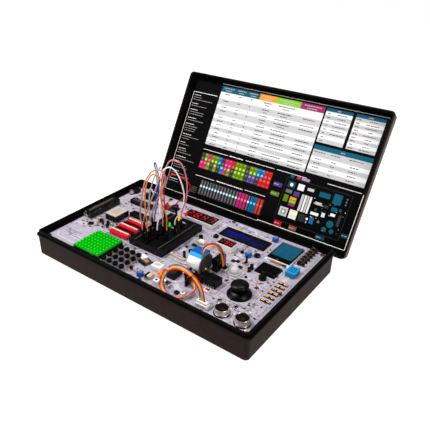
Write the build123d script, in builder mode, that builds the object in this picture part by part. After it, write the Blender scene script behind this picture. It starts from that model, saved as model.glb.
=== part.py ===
from build123d import *
import math
import os

os.makedirs("parts", exist_ok=True)

# ---------------------------------------------------------------- driving dimensions (mm)
# The origin is on the surface the kit stands on, under the centre of the base. X runs along
# the long front edge, Y to the back, Z up. The lid is drawn open, leaning back.
case_w, case_d, base_h = 328.4, 200.0, 35.0
corner_r = 5.0
foot_h = 4.0                     # rubber strip under the base
floor_t = 2.5
cavity_w, cavity_d = 317.0, 188.0
z_under = foot_h
z_rim = foot_h + base_h          # where the closed lid's rim lies
# round bead along the wall, and the thin raised lip above it that the lid slips over
bead_w, bead_d, bead_z, bead_t = 332.0, 202.0, z_under + 29.4, 2.3
lip_w, lip_d, lip_t, lip_top = 325.2, 197.6, 2.1, 40.6

board_w, board_d, board_t = 316.0, 187.0, 1.6
zp = z_under + 26.5              # top face of the main board
board_screw_xy = [(-153, -88.5), (153, -88.5), (-153, 88.5), (153, 88.5), (8, -89), (20, 88.5)]

# hinge axis, along X behind the base, and how far the lid stands open
hinge_y, hinge_z = 107.04, z_under + 8.53
open_deg = 119.11
hinge_x = 90.0
arm_w, knuckle_w, knuckle_gap = 24.0, 6.0, 0.4
pin_r, pin_clear = 1.5, 0.05

lid_w, lid_d, lid_h, lid_inset, lid_floor = 332.0, 201.6, 15.0, 1.0, 1.5
lid_cavity_w, lid_cavity_v0, lid_cavity_v1 = 324.8, 3.2, 198.6
lid_mouth_w, lid_mouth_v0, lid_mouth_v1, lid_mouth_h = 326.0, 0.9, 199.1, 2.4
panel_t = 0.5

# lid frame: origin at the middle of the hinge-side rim edge, x along X, y up the lid, z out of the rim
od = math.radians(open_deg)
dy0, dz0 = 100.0 - hinge_y, z_rim - hinge_z
lid_oy = hinge_y + dy0 * math.cos(od) + dz0 * math.sin(od)
lid_oz = hinge_z - dy0 * math.sin(od) + dz0 * math.cos(od)
lid_v = (0, -math.cos(od), math.sin(od))
lid_w_dir = (0, -math.sin(od), -math.cos(od))
lid_plane = Plane(origin=(0, lid_oy, lid_oz), x_dir=(1, 0, 0), z_dir=lid_w_dir)


def arm_plane(x):
    # a plane across the hinge: its x runs up the lid, its y out of the lid's rim
    return Plane(origin=(x, lid_oy, lid_oz), x_dir=lid_v, z_dir=(1, 0, 0))


# ---------------------------------------------------------------- base shell
with BuildPart() as base_shell:
    with BuildSketch(Plane.XY.offset(z_under)):
        RectangleRounded(case_w, case_d, corner_r)
    extrude(amount=bead_z + bead_t - z_under)
    chamfer(base_shell.faces().sort_by(Axis.Z)[0].edges(), length=2.3)
    with BuildSketch(Plane.XY.offset(bead_z)):
        RectangleRounded(bead_w, bead_d, corner_r + 0.8)
    extrude(amount=bead_t)
    bead_edges = [e for e in base_shell.edges().filter_by_position(Axis.Z, bead_z - 0.01, bead_z + bead_t + 0.01)
                  if max(abs(e.center().X) - bead_w / 2, abs(e.center().Y) - bead_d / 2) > -3.0
                  and (abs(e.center().X) > case_w / 2 + 0.3 or abs(e.center().Y) > case_d / 2 + 0.3
                       or (abs(e.center().X) > case_w / 2 - 1.6 and abs(e.center().Y) > case_d / 2 - 1.6))]
    fillet([e for e in bead_edges if e.center().Z > bead_z + bead_t - 0.01], radius=0.8)
    # the bead stops where the lid's arms pass
    with BuildSketch(Plane.XY.offset(bead_z - 0.5)):
        with Locations((-hinge_x, case_d / 2 + 2.0), (hinge_x, case_d / 2 + 2.0)):
            Rectangle(arm_w + 3.0, 4.0)
    extrude(amount=bead_t + 1.0, mode=Mode.SUBTRACT)
    with BuildSketch(Plane.XY.offset(bead_z + bead_t)):
        RectangleRounded(lip_w, lip_d, 4.0)
    extrude(amount=lip_top - bead_z - bead_t)
    fillet([e for e in base_shell.edges().filter_by_position(Axis.Z, lip_top - 0.01, lip_top + 0.01)], radius=0.5)
    with BuildSketch(Plane.XY.offset(z_under + floor_t)):
        RectangleRounded(cavity_w, cavity_d, 3.0)
    extrude(amount=base_h, mode=Mode.SUBTRACT)
    # the cavity is wider above the board, up to the lip
    with BuildSketch(Plane.XY.offset(zp + 2.6)):
        RectangleRounded(lip_w - 2 * lip_t, lip_d - 2 * lip_t, 3.0)
    extrude(amount=base_h, mode=Mode.SUBTRACT)
    # bosses under the main board and under the controller board
    with BuildSketch(Plane.XY.offset(z_under + floor_t)):
        with Locations(*board_screw_xy):
            Circle(4.0)
    extrude(amount=zp - board_t - z_under - floor_t)
    with BuildSketch(Plane.XY.offset(z_under + floor_t)):
        with Locations((-60, 0)):
            with GridLocations(58.0, 49.0, 2, 2):
                Circle(3.0)
    extrude(amount=4.0)
    with BuildSketch(Plane.XY.offset(zp - board_t)):
        with Locations(*board_screw_xy):
            Circle(1.25)
    extrude(amount=-9.0, mode=Mode.SUBTRACT)
    # hinge knuckles on the back wall
    for side in (-1, 1):
        for k in (-1, 1):
            x0 = side * hinge_x + k * (arm_w / 2 + knuckle_gap + knuckle_w / 2) - knuckle_w / 2
            with BuildSketch(Plane.YZ.offset(x0)):
                with BuildLine():
                    Polyline(
                        (96.5, hinge_z - 4.6), (hinge_y, hinge_z - 4.6), (hinge_y, hinge_z + 4.6),
                        (96.8, hinge_z + 9.0), (96.5, hinge_z - 4.6),
                    )
                make_face()
                with Locations((hinge_y, hinge_z)):
                    Circle(4.6)
            extrude(amount=knuckle_w)
            with BuildSketch(Plane.YZ.offset(x0)):
                with Locations((hinge_y, hinge_z)):
                    Circle(pin_r)
            extrude(amount=knuckle_w, mode=Mode.SUBTRACT)
base_shell.part.label = "base_shell"
export_step(base_shell.part, "parts/base_shell.step")

# rubber strip the case stands on, one closed ring
with BuildPart() as foot_strip:
    with BuildSketch():
        RectangleRounded(286, 160, 12)
        RectangleRounded(264, 138, 6, mode=Mode.SUBTRACT)
    extrude(amount=foot_h)
    fillet(foot_strip.faces().sort_by(Axis.Z)[0].edges(), radius=0.8)
foot_strip.part.label = "foot_strip"
export_step(foot_strip.part, "parts/foot_strip.step")

# two headed steel hinge pins
pin_len = arm_w + 2 * knuckle_gap + 2 * knuckle_w
with BuildPart() as hinge_pins:
    for side in (-1, 1):
        x0 = side * hinge_x - pin_len / 2
        with BuildSketch(Plane.YZ.offset(x0)):
            with Locations((hinge_y, hinge_z)):
                Circle(pin_r)
        extrude(amount=pin_len + 0.6)
        with BuildSketch(Plane.YZ.offset(x0 - 1.2)):
            with Locations((hinge_y, hinge_z)):
                Circle(2.6)
        extrude(amount=1.2)
hinge_pins.part.label = "hinge_pins"
export_step(hinge_pins.part, "parts/hinge_pins.step")

# ---------------------------------------------------------------- lid
with BuildPart() as lid_shell:
    with BuildSketch(lid_plane.offset(-lid_h)):
        with Locations((0, case_d / 2)):
            RectangleRounded(lid_w - 2 * lid_inset, lid_d - 2 * lid_inset, corner_r)
    extrude(amount=lid_h - 0.25, taper=-math.degrees(math.atan(lid_inset / lid_h)))
    back = lid_shell.faces().sort_by(Axis(origin=(0, lid_oy, lid_oz), direction=lid_w_dir))[0]
    fillet(back.edges(), radius=1.5)
    # the hinge-side back edge is cut flat where it would meet the table
    with BuildSketch(arm_plane(-lid_w / 2 - 5)):
        with BuildLine():
            Polyline((-6.0, -18.0), (5.6, -18.0), (4.2, -15.2), (-0.9, -10.4), (-6.0, -10.4), (-6.0, -18.0))
        make_face()
    extrude(amount=lid_w + 10, mode=Mode.SUBTRACT)
    with BuildSketch(lid_plane.offset(-lid_h + lid_floor)):
        with Locations((0, (lid_cavity_v0 + lid_cavity_v1) / 2)):
            RectangleRounded(lid_cavity_w, lid_cavity_v1 - lid_cavity_v0, 3.4)
    extrude(amount=lid_h, mode=Mode.SUBTRACT)
    # wider mouth that slips over the base's lip
    with BuildSketch(lid_plane.offset(-lid_mouth_h)):
        with Locations((0, (lid_mouth_v0 + lid_mouth_v1) / 2)):
            RectangleRounded(lid_mouth_w, lid_mouth_v1 - lid_mouth_v0, 4.2)
    extrude(amount=lid_mouth_h + 1.0, mode=Mode.SUBTRACT)
    # two arms reaching past the rim to the hinge pins
    for side in (-1, 1):
        x0 = side * hinge_x - arm_w / 2
        with BuildSketch(arm_plane(x0)):
            with BuildLine():
                Polyline(
                    (1.2, -0.8), (1.2, -4.6), (-1.4, -4.6), (-3.4, 0.0), (-4.2, 15.0), (-11.2, 24.6),
                    (-7.04, 26.47), (-2.2, 26.47), (-1.9, 21.0), (-0.8, 15.0), (-0.7, -0.8), (1.2, -0.8),
                )
            make_face()
            with Locations((-7.04, dz0)):
                Circle(4.8)
        extrude(amount=arm_w)
        with BuildSketch(arm_plane(x0)):
            with Locations((-7.04, dz0)):
                Circle(pin_r + pin_clear)
        extrude(amount=arm_w, mode=Mode.SUBTRACT)
lid_shell.part.label = "lid_shell"
export_step(lid_shell.part, "parts/lid_shell.step")

# printed card lying in the lid
with BuildPart() as reference_panel:
    with BuildSketch(lid_plane.offset(-lid_h + lid_floor)):
        with Locations((0, (lid_cavity_v0 + lid_cavity_v1) / 2)):
            RectangleRounded(lid_cavity_w - 0.6, lid_cavity_v1 - lid_cavity_v0 - 0.6, 3.1)
    extrude(amount=panel_t)
reference_panel.part.label = "reference_panel"
export_step(reference_panel.part, "parts/reference_panel.step")

# ---------------------------------------------------------------- main board
with BuildPart() as main_board:
    with BuildSketch(Plane.XY.offset(zp - board_t)):
        RectangleRounded(board_w, board_d, 2.0)
        with Locations(*board_screw_xy):
            Circle(1.6, mode=Mode.SUBTRACT)
    extrude(amount=board_t)
main_board.part.label = "main_board"
export_step(main_board.part, "parts/main_board.step")

with BuildPart() as board_screws:
    with BuildSketch(Plane.XY.offset(zp)):
        with Locations(*board_screw_xy):
            Circle(2.8)
    extrude(amount=1.8)
    with BuildSketch(Plane.XY.offset(zp)):
        with Locations(*board_screw_xy):
            Circle(1.25)
    extrude(amount=-8.0)
    with BuildSketch(Plane.XY.offset(zp + 1.8)):
        with Locations(*board_screw_xy):
            Rectangle(3.2, 0.8)
            Rectangle(0.8, 3.2)
    extrude(amount=-1.0, mode=Mode.SUBTRACT)
board_screws.part.label = "board_screws"
export_step(board_screws.part, "parts/board_screws.step")

# controller under the main board, on its four bosses
ctrl_z = z_under + floor_t + 4.0
with BuildPart() as controller_board:
    with BuildSketch(Plane.XY.offset(ctrl_z)):
        with Locations((-60, 0)):
            RectangleRounded(85, 56, 3)
            with GridLocations(58.0, 49.0, 2, 2):
                Circle(1.4, mode=Mode.SUBTRACT)
    extrude(amount=1.4)
    with BuildSketch(Plane.XY.offset(ctrl_z + 1.4)):
        with Locations((-68, 4)):
            Rectangle(14, 14)
        with Locations((-24.5, -18), (-24.5, 1)):
            Rectangle(13, 13)
    extrude(amount=2.4)
    with BuildSketch(Plane.XY.offset(ctrl_z + 1.4)):
        with Locations((-64, 24.5)):
            Rectangle(50.8, 5)
    extrude(amount=8.5)
controller_board.part.label = "controller_board"
export_step(controller_board.part, "parts/controller_board.step")

# ---------------------------------------------------------------- light matrix
mx, my, m_size = -81.3, -68.8, 44.0
with BuildPart() as matrix_housing:
    with BuildSketch(Plane.XY.offset(zp)):
        with Locations((mx, my)):
            Rectangle(m_size, m_size)
    extrude(amount=7.4)
    chamfer(matrix_housing.faces().sort_by(Axis.Z)[-1].edges(), length=0.5)
matrix_housing.part.label = "matrix_housing"
export_step(matrix_housing.part, "parts/matrix_housing.step")

with BuildPart() as matrix_domes:
    with BuildSketch(Plane.XY.offset(zp + 7.4)):
        with Locations((mx, my)):
            with GridLocations(5.25, 5.25, 8, 8):
                Circle(2.1)
    extrude(amount=0.7, taper=18)
matrix_domes.part.label = "matrix_domes"
export_step(matrix_domes.part, "parts/matrix_domes.step")

# ---------------------------------------------------------------- sixteen push switches
key_xy = [(-53.4 + 10.1 * i, -86.3 + 10.1 * j) for j in range(4) for i in range(4)]
with BuildPart() as key_switches:
    with BuildSketch(Plane.XY.offset(zp)):
        with Locations(*key_xy):
            RectangleRounded(6.4, 6.4, 0.5)
    extrude(amount=3.6)
    with BuildSketch(Plane.XY.offset(zp + 1.4)):
        with Locations(*key_xy):
            Circle(1.75)
    extrude(amount=4.0, mode=Mode.SUBTRACT)
key_switches.part.label = "key_switches"
export_step(key_switches.part, "parts/key_switches.step")

for n, (kx, ky) in enumerate(key_xy, 1):
    with BuildPart() as key_cap:
        with BuildSketch(Plane.XY.offset(zp + 4.15)):
            with Locations((kx, ky)):
                Circle(3.4)
        extrude(amount=2.85)
        fillet(key_cap.faces().sort_by(Axis.Z)[-1].edges(), radius=0.7)
        with BuildSketch(Plane.XY.offset(zp + 2.1)):
            with Locations((kx, ky)):
                Circle(1.55)
        extrude(amount=2.2)
    key_cap.part.label = f"key_cap_{n:02d}"
    export_step(key_cap.part, f"parts/key_cap_{n:02d}.step")

# ---------------------------------------------------------------- red switch banks
bank_x, bank_w, bank_h = -79.5, 31.0, 6.4
bank_y = [-31.6, -15.6, 0.3]
with BuildPart() as dip_switch_bodies:
    with BuildSketch(Plane.XY.offset(zp)):
        with Locations(*[(bank_x, y) for y in bank_y]):
            Rectangle(bank_w, 8.8)
    extrude(amount=bank_h)
    chamfer(dip_switch_bodies.faces().group_by(Axis.Z)[-1].edges(), length=0.5)
    with BuildSketch(Plane.XY.offset(zp + bank_h - 1.2)):
        with Locations(*[(bank_x, y) for y in bank_y]):
            with GridLocations(2.5, 0, 12, 1):
                Rectangle(1.7, 4.4)
    extrude(amount=2.0, mode=Mode.SUBTRACT)
dip_switch_bodies.part.label = "dip_switch_bodies"
export_step(dip_switch_bodies.part, "parts/dip_switch_bodies.step")

with BuildPart() as dip_switch_sliders:
    with BuildSketch(Plane.XY.offset(zp + bank_h - 1.2)):
        with Locations(*[(bank_x, y + 1.0) for y in bank_y]):
            with GridLocations(2.5, 0, 12, 1):
                Rectangle(1.4, 1.8)
    extrude(amount=1.9)
dip_switch_sliders.part.label = "dip_switch_sliders"
export_step(dip_switch_sliders.part, "parts/dip_switch_sliders.step")

# ---------------------------------------------------------------- pin headers
gold_y = [5.5, -2.0, -9.5, -17.0, -25.0, -33.0]
bent_y = [54.0, 61.0, 68.0, 75.0, 82.0, 89.0]
with BuildPart() as pin_headers:
    # black strips between and behind the switch banks
    with BuildSketch(Plane.XY.offset(zp)):
        with Locations((bank_x, -23.7), (bank_x, -7.7)):
            Rectangle(bank_w, 4.6)
        with Locations((-92, 19)):
            Rectangle(29, 10)
    extrude(amount=5.6)
    # six gold edge blocks at the right
    with BuildSketch(Plane.XY.offset(zp)):
        with Locations(*[(143.5, y) for y in gold_y]):
            Rectangle(13, 4)
    extrude(amount=1.6)
    # six bent pins at the back right
    for y in bent_y:
        with BuildSketch(Plane.XZ.offset(-y)):
            with BuildLine():
                Polyline(
                    (137, zp), (137, zp + 6.0), (140.5, zp + 7.6), (147, zp + 5.2), (147, zp + 4.0),
                    (140.6, zp + 6.3), (138.4, zp + 5.2), (138.4, zp), (137, zp),
                )
            make_face()
        extrude(amount=1.1, both=True)
pin_headers.part.label = "pin_headers"
export_step(pin_headers.part, "parts/pin_headers.step")

# ---------------------------------------------------------------- relay and port block
with BuildPart() as relay:
    with BuildSketch(Plane.XY.offset(zp)):
        with Locations((-117.5, 1.0)):
            Rectangle(21, 26)
    extrude(amount=10.0)
    chamfer(relay.faces().sort_by(Axis.Z)[-1].edges(), length=0.6)
relay.part.label = "relay"
export_step(relay.part, "parts/relay.step")

with BuildPart() as port_block:
    with BuildSketch(Plane.XY.offset(zp)):
        with Locations((-149.9, 4.0)):
            RectangleRounded(15.4, 57, 3.0)
    extrude(amount=9.2)
    with BuildSketch(Plane.XY.offset(zp + 9.2)):
        with Locations((-149.9, 4.0)):
            SlotOverall(47, 4.6, rotation=90)
    extrude(amount=-6.0, mode=Mode.SUBTRACT)
port_block.part.label = "port_block"
export_step(port_block.part, "parts/port_block.step")

# ---------------------------------------------------------------- breadboard and what is plugged in
bb_x, bb_y, bb_h = -29.5, 3.5, 9.0
zb = zp + bb_h
with BuildPart() as breadboard:
    with BuildSketch(Plane.XY.offset(zp)):
        with Locations((bb_x, bb_y)):
            Rectangle(55, 83)
    extrude(amount=bb_h)
    chamfer(breadboard.edges().filter_by(Axis.Z), length=0.6)
    # channel down the middle and the rail lines beside the supply rows
    with BuildSketch(Plane.XY.offset(zb)):
        with Locations((bb_x, bb_y)):
            Rectangle(2.6, 79)
    extrude(amount=-4.0, mode=Mode.SUBTRACT)
    with BuildSketch(Plane.XY.offset(zb)):
        with Locations((-49.6, bb_y), (-9.4, bb_y)):
            Rectangle(0.7, 80)
    extrude(amount=-0.6, mode=Mode.SUBTRACT)
    # keyed ribs on the front end
    with BuildSketch(Plane.XZ.offset(-(bb_y - 41.5))):
        with Locations((-47, zp + 4.0), (-12, zp + 4.0)):
            Rectangle(6, 5)
    extrude(amount=1.0)
breadboard.part.label = "breadboard"
export_step(breadboard.part, "parts/breadboard.step")

led_xy = [(-26.5, 7.2), (-26.3, 26.5), (-26.8, 41.0)]
led_z = zp + 16.2
resistor_dx = [5.2, 5.5, 6.5]
with BuildPart() as leds_and_resistors:
    for (lx, ly) in led_xy:
        with BuildSketch(Plane.XZ.offset(-ly)):
            with BuildLine():
                Polyline((lx, led_z), (lx + 1.9, led_z), (lx + 1.9, led_z + 1.0), (lx + 1.5, led_z + 1.0), (lx + 1.5, led_z + 3.8))
                RadiusArc((lx + 1.5, led_z + 3.8), (lx, led_z + 5.3), -1.5)
                Line((lx, led_z + 5.3), (lx, led_z))
            make_face()
        revolve(axis=Axis((lx, ly, 0), (0, 0, 1)))
        with BuildSketch(Plane.XY.offset(zb)):
            with Locations((lx - 1.0, ly), (lx + 1.0, ly)):
                Circle(0.3)
        extrude(amount=led_z - zb)
    # each resistor: body along X, its two leads bent down into the breadboard
    for (lx, ly), dx in zip(led_xy, resistor_dx):
        rx, ry, rz = lx + dx, ly + 1.3, zp + 14.0
        with BuildSketch(Plane.YZ.offset(rx - 3.2)):
            with Locations((ry, rz)):
                Circle(1.15)
        extrude(amount=6.4)
        for k in (-1, 1):
            with BuildLine() as lead:
                FilletPolyline((rx + k * 3.2, ry, rz), (rx + k * 5.0, ry, rz), (rx + k * 5.0, ry, zb), radius=1.0)
            with BuildSketch(Plane(origin=(rx + k * 3.2, ry, rz), z_dir=(k, 0, 0))):
                Circle(0.3)
            sweep(path=lead.wires()[0])
leds_and_resistors.part.label = "leds_and_resistors"
export_step(leds_and_resistors.part, "parts/leds_and_resistors.step")

# ---------------------------------------------------------------- cords: routes through their corner points
wire_d, ribbon_d = 1.6, 2.4
plug_h = 14.0
routes = {
    "wire_orange": [
        (-32.6, -28.3, 53.5), (-32.6, -28.3, 60.5), (-33.5, -28.4, 72.2), (-33.8, -29.0, 83.9), (-33.3, -29.6, 95.6),
        (-32.1, -30.2, 107.3), (-29.1, -30.9, 118.7), (-24.0, -31.6, 129.1), (-16.3, -32.2, 138.7), (-8.5, -30.0, 136.6),
        (-7.4, -26.5, 126.9), (-12.4, -23.7, 116.9), (-15.4, -21.2, 105.7), (-17.3, -17.5, 94.8), (-16.6, -13.8, 83.6),
        (-14.3, -11.9, 72.2), (-15.4, -11.5, 60.5), (-15.4, -11.5, 53.5)],
    "wire_salmon": [
        (-40.1, -29.8, 53.5), (-40.1, -29.8, 60.5), (-40.8, -31.7, 71.9), (-38.4, -33.2, 83.2), (-34.8, -34.4, 94.2),
        (-31.5, -35.9, 105.2), (-28.2, -37.1, 116.3), (-24.0, -37.8, 127.1), (-17.8, -38.4, 136.9), (-10.6, -38.6, 145.9),
        (-0.3, -36.1, 149.5), (4.2, -32.7, 140.6), (0.2, -30.6, 129.8), (-5.4, -29.0, 119.8), (-11.1, -27.8, 109.8),
        (-17.3, -26.5, 100.0), (-23.1, -25.4, 90.1), (-27.1, -24.7, 79.2), (-31.7, -24.0, 68.5), (-39.9, -22.6, 60.5),
        (-39.9, -22.6, 53.5)],
    "wire_grey": [
        (-39.8, -16.0, 53.5), (-39.8, -16.0, 60.5), (-41.4, -13.3, 71.3), (-43.9, -11.6, 82.2), (-44.0, -9.6, 93.4),
        (-42.3, -7.5, 104.4), (-39.4, -5.7, 115.2), (-35.9, -2.9, 125.4), (-29.1, -2.5, 134.4), (-22.1, -9.5, 132.2),
        (-23.6, -13.8, 121.2), (-26.8, -15.7, 110.6), (-30.8, -16.7, 100.0), (-36.0, -16.6, 90.0), (-40.4, -16.5, 79.6),
        (-44.7, -16.3, 69.1), (-51.7, -14.3, 60.5), (-51.7, -14.3, 53.5)],
    "wire_blue": [
        (-51.5, 1.2, 53.5), (-51.5, 1.2, 60.5), (-50.3, 8.0, 69.5), (-51.2, 10.8, 80.4), (-52.4, 13.7, 91.3),
        (-53.8, 16.4, 102.2), (-56.3, 17.3, 113.2), (-56.8, 15.0, 124.6), (-48.7, 8.5, 130.2), (-39.8, 2.5, 125.3),
        (-35.1, -1.3, 115.6), (-33.9, -3.0, 104.5), (-34.0, -4.6, 93.3), (-35.1, -5.5, 82.0), (-38.1, -5.5, 71.2),
        (-41.7, -4.9, 60.5), (-41.7, -4.9, 53.5)],
    "wire_white": [
        (-25.1, -18.8, 53.5), (-25.1, -18.8, 60.5), (-22.2, -17.2, 71.3), (-21.7, -15.5, 82.5), (-22.4, -14.6, 93.8),
        (-22.0, -14.0, 105.1), (-21.2, -13.9, 116.4), (-19.3, -14.4, 127.6), (-14.9, -14.8, 138.3), (-6.4, -11.1, 142.6),
        (-1.2, -6.0, 133.5), (1.1, -2.7, 123.1), (2.8, -0.2, 112.2), (2.9, 1.9, 101.0), (-0.2, 3.4, 90.2),
        (-4.7, 4.4, 79.8), (-9.2, 4.9, 69.4), (-16.1, 5.1, 60.5), (-16.1, 5.1, 53.5)],
    "wire_pink": [
        (-26.2, -6.4, 53.5), (-26.2, -6.4, 60.5), (-27.9, -5.2, 72.0), (-29.4, -3.6, 83.5), (-30.1, -1.9, 95.1),
        (-30.6, -0.1, 106.7), (-30.6, 2.1, 118.2), (-28.7, 5.0, 129.3), (-23.9, 8.2, 140.4), (-13.0, 13.1, 139.5),
        (-8.3, 16.0, 128.7), (-7.0, 17.9, 117.2), (-6.7, 19.4, 105.5), (-7.9, 20.3, 93.9), (-10.0, 21.0, 82.4),
        (-14.9, 20.9, 71.7), (-18.2, 20.5, 60.5), (-18.2, 20.5, 53.5)],
    "wire_red": [
        (-53.6, 28.5, 53.5), (-53.6, 28.5, 60.5), (-52.8, 27.7, 71.9), (-53.3, 27.5, 83.4), (-51.6, 27.7, 94.7),
        (-46.4, 29.1, 105.2), (-35.6, 32.5, 108.2), (-25.6, 36.1, 103.7), (-17.6, 40.5, 96.0), (-21.5, 43.3, 85.1),
        (-29.2, 43.4, 76.6), (-35.2, 43.0, 66.9), (-44.5, 42.4, 60.5), (-44.5, 42.4, 53.5)],
    "motor_ribbon": [
        (59.0, -35.0, 60.0), (59.0, -35.0, 63.6), (59.8, -33.6, 67.1), (61.4, -31.2, 69.6), (63.6, -27.7, 70.7),
        (65.9, -24.0, 70.2), (68.2, -20.2, 67.6), (70.2, -17.0, 63.0), (71.7, -14.6, 56.6), (72.7, -13.1, 49.4),
        (73.1, -12.4, 42.6), (73.1, -12.4, 36.5)],
    "sensor_ribbon": [
        (93.6, -81.8, 38.5), (93.6, -81.8, 43.5), (92.6, -81.9, 50.4), (88.4, -81.6, 58.2), (80.4, -81.0, 64.4),
        (69.6, -80.4, 68.0), (57.4, -80.5, 67.2), (47.2, -81.8, 60.6), (41.0, -84.0, 50.6), (40.4, -87.0, 41.4),
        (44.6, -89.8, 35.2), (51.5, -91.0, 32.8), (60.5, -90.6, 32.5), (68.4, -86.5, 33.2), (73.2, -78.5, 34.2),
        (73.6, -69.5, 35.2), (68.6, -62.0, 36.0), (60.2, -60.0, 36.0)],
}


def route_radii(points):
    # one radius for each corner: 0.45 of its shorter run, over the tangent of half the turn
    out = []
    for a, b, c in zip(points, points[1:], points[2:]):
        r1, r2 = Vector(b) - Vector(a), Vector(c) - Vector(b)
        turn = math.radians(r1.get_angle(r2))
        out.append(0.45 * min(r1.length, r2.length) / math.tan(turn / 2))
    return out


plug_xy = []
for name, points in routes.items():
    radii = route_radii(points)
    with BuildPart() as cord:
        with BuildLine() as path:
            FilletPolyline(*points, radius=radii)
        d = wire_d if name.startswith("wire") else ribbon_d
        with BuildSketch(Plane(origin=points[0], z_dir=(0, 0, 1))):
            Circle(d / 2)
        sweep()
    length = path.wires()[0].length
    print(name, "length %.1f" % length, "volume/section*length %.4f" % (
        cord.part.volume / (math.pi * d * d / 4 * length)), "least radius %.1f" % min(radii))
    cord.part.label = name
    export_step(cord.part, f"parts/{name}.step")
    if name.startswith("wire"):
        plug_xy += [points[0][:2], points[-1][:2]]

# crimp housings of the jumper wires, standing in the breadboard
with BuildPart() as jumper_plugs:
    with BuildSketch(Plane.XY.offset(zb)):
        with Locations(*plug_xy):
            Rectangle(2.5, 2.5)
    extrude(amount=plug_h)
jumper_plugs.part.label = "jumper_plugs"
export_step(jumper_plugs.part, "parts/jumper_plugs.step")

# ---------------------------------------------------------------- displays
with BuildPart() as digit_displays:
    with BuildSketch(Plane.XY.offset(zp)):
        with Locations((-18.0, 63.8)):
            Rectangle(50, 19.5)
    extrude(amount=8.0)
    with BuildSketch(Plane.XY.offset(zp)):
        with Locations((49.2, 28.9)):
            Rectangle(22.3, 13.6)
    extrude(amount=9.5)
digit_displays.part.label = "digit_displays"
export_step(digit_displays.part, "parts/digit_displays.step")

with BuildPart() as display_bezel:
    with BuildSketch(Plane.XY.offset(zp)):
        with Locations((55.0, 62.6)):
            Rectangle(69.0, 22.2)
    extrude(amount=1.9)
    chamfer(display_bezel.faces().sort_by(Axis.Z)[-1].edges(), length=0.3)
    with BuildSketch(Plane.XY.offset(zp + 1.9)):
        with Locations((55.0, 60.6)):
            Rectangle(63.0, 15.4)
    extrude(amount=-1.2, mode=Mode.SUBTRACT)
display_bezel.part.label = "display_bezel"
export_step(display_bezel.part, "parts/display_bezel.step")

with BuildPart() as display_glass:
    with BuildSketch(Plane.XY.offset(zp + 0.7)):
        with Locations((55.0, 60.6)):
            Rectangle(63.0, 15.4)
    extrude(amount=0.9)
display_glass.part.label = "display_glass"
export_step(display_glass.part, "parts/display_glass.step")

with BuildPart() as small_displays:
    # square colour display on its board
    with BuildSketch(Plane.XY.offset(zp)):
        with Locations((116, 62.5)):
            Rectangle(32, 41)
    extrude(amount=3.5)
    with BuildSketch(Plane.XY.offset(zp + 3.5)):
        with Locations((116, 64.0)):
            Rectangle(27, 29)
    extrude(amount=-0.5, mode=Mode.SUBTRACT)
    # small dot display
    with BuildSketch(Plane.XY.offset(zp)):
        with Locations((116.5, 19.2)):
            Rectangle(27, 21.8)
    extrude(amount=3.0)
    with BuildSketch(Plane.XY.offset(zp + 3.0)):
        with Locations((116.5, 19.6)):
            Rectangle(23, 12)
    extrude(amount=-0.4, mode=Mode.SUBTRACT)
small_displays.part.label = "small_displays"
export_step(small_displays.part, "parts/small_displays.step")

# ---------------------------------------------------------------- trimmers
trim_xy = [(89.3, 82.7), (80.4, 31.0), (2.1, -81.0)]
with BuildPart() as trimmer_bodies:
    with BuildSketch(Plane.XY.offset(zp)):
        with Locations(*trim_xy):
            RectangleRounded(8.0, 8.0, 3.0)
    extrude(amount=5.6)
    chamfer(trimmer_bodies.faces().sort_by(Axis.Z)[-1].edges() + trimmer_bodies.faces().sort_by(Axis.Z)[-2].edges() + trimmer_bodies.faces().sort_by(Axis.Z)[-3].edges(), length=0.5)
    with BuildSketch(Plane.XY.offset(zp + 2.8)):
        with Locations(*trim_xy):
            Circle(2.66)
    extrude(amount=4.0, mode=Mode.SUBTRACT)
trimmer_bodies.part.label = "trimmer_bodies"
export_step(trimmer_bodies.part, "parts/trimmer_bodies.step")

for n, (tx, ty) in enumerate(trim_xy, 1):
    with BuildPart() as trimmer_screw:
        with BuildSketch(Plane.XY.offset(zp + 2.86)):
            with Locations((tx, ty)):
                Circle(2.6)
        extrude(amount=3.4)
        with BuildSketch(Plane.XY.offset(zp + 6.26)):
            with Locations((tx, ty)):
                Rectangle(0.8, 6)
                Rectangle(3.4, 0.8)
        extrude(amount=-0.9, mode=Mode.SUBTRACT)
    trimmer_screw.part.label = f"trimmer_screw_{n}"
    export_step(trimmer_screw.part, f"parts/trimmer_screw_{n}.step")

# ---------------------------------------------------------------- humidity sensor
with BuildPart() as humidity_sensor:
    with BuildSketch(Plane.XY.offset(zp)):
        with Locations((142.3, 30.8)):
            RectangleRounded(12.4, 15.8, 0.8)
    extrude(amount=6.0)
    with BuildSketch(Plane.XY.offset(zp + 6.0)):
        with Locations((142.3, 31.5)):
            with GridLocations(3.0, 3.6, 3, 3):
                Rectangle(2.0, 2.6)
    extrude(amount=-1.2, mode=Mode.SUBTRACT)
humidity_sensor.part.label = "humidity_sensor"
export_step(humidity_sensor.part, "parts/humidity_sensor.step")

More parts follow.
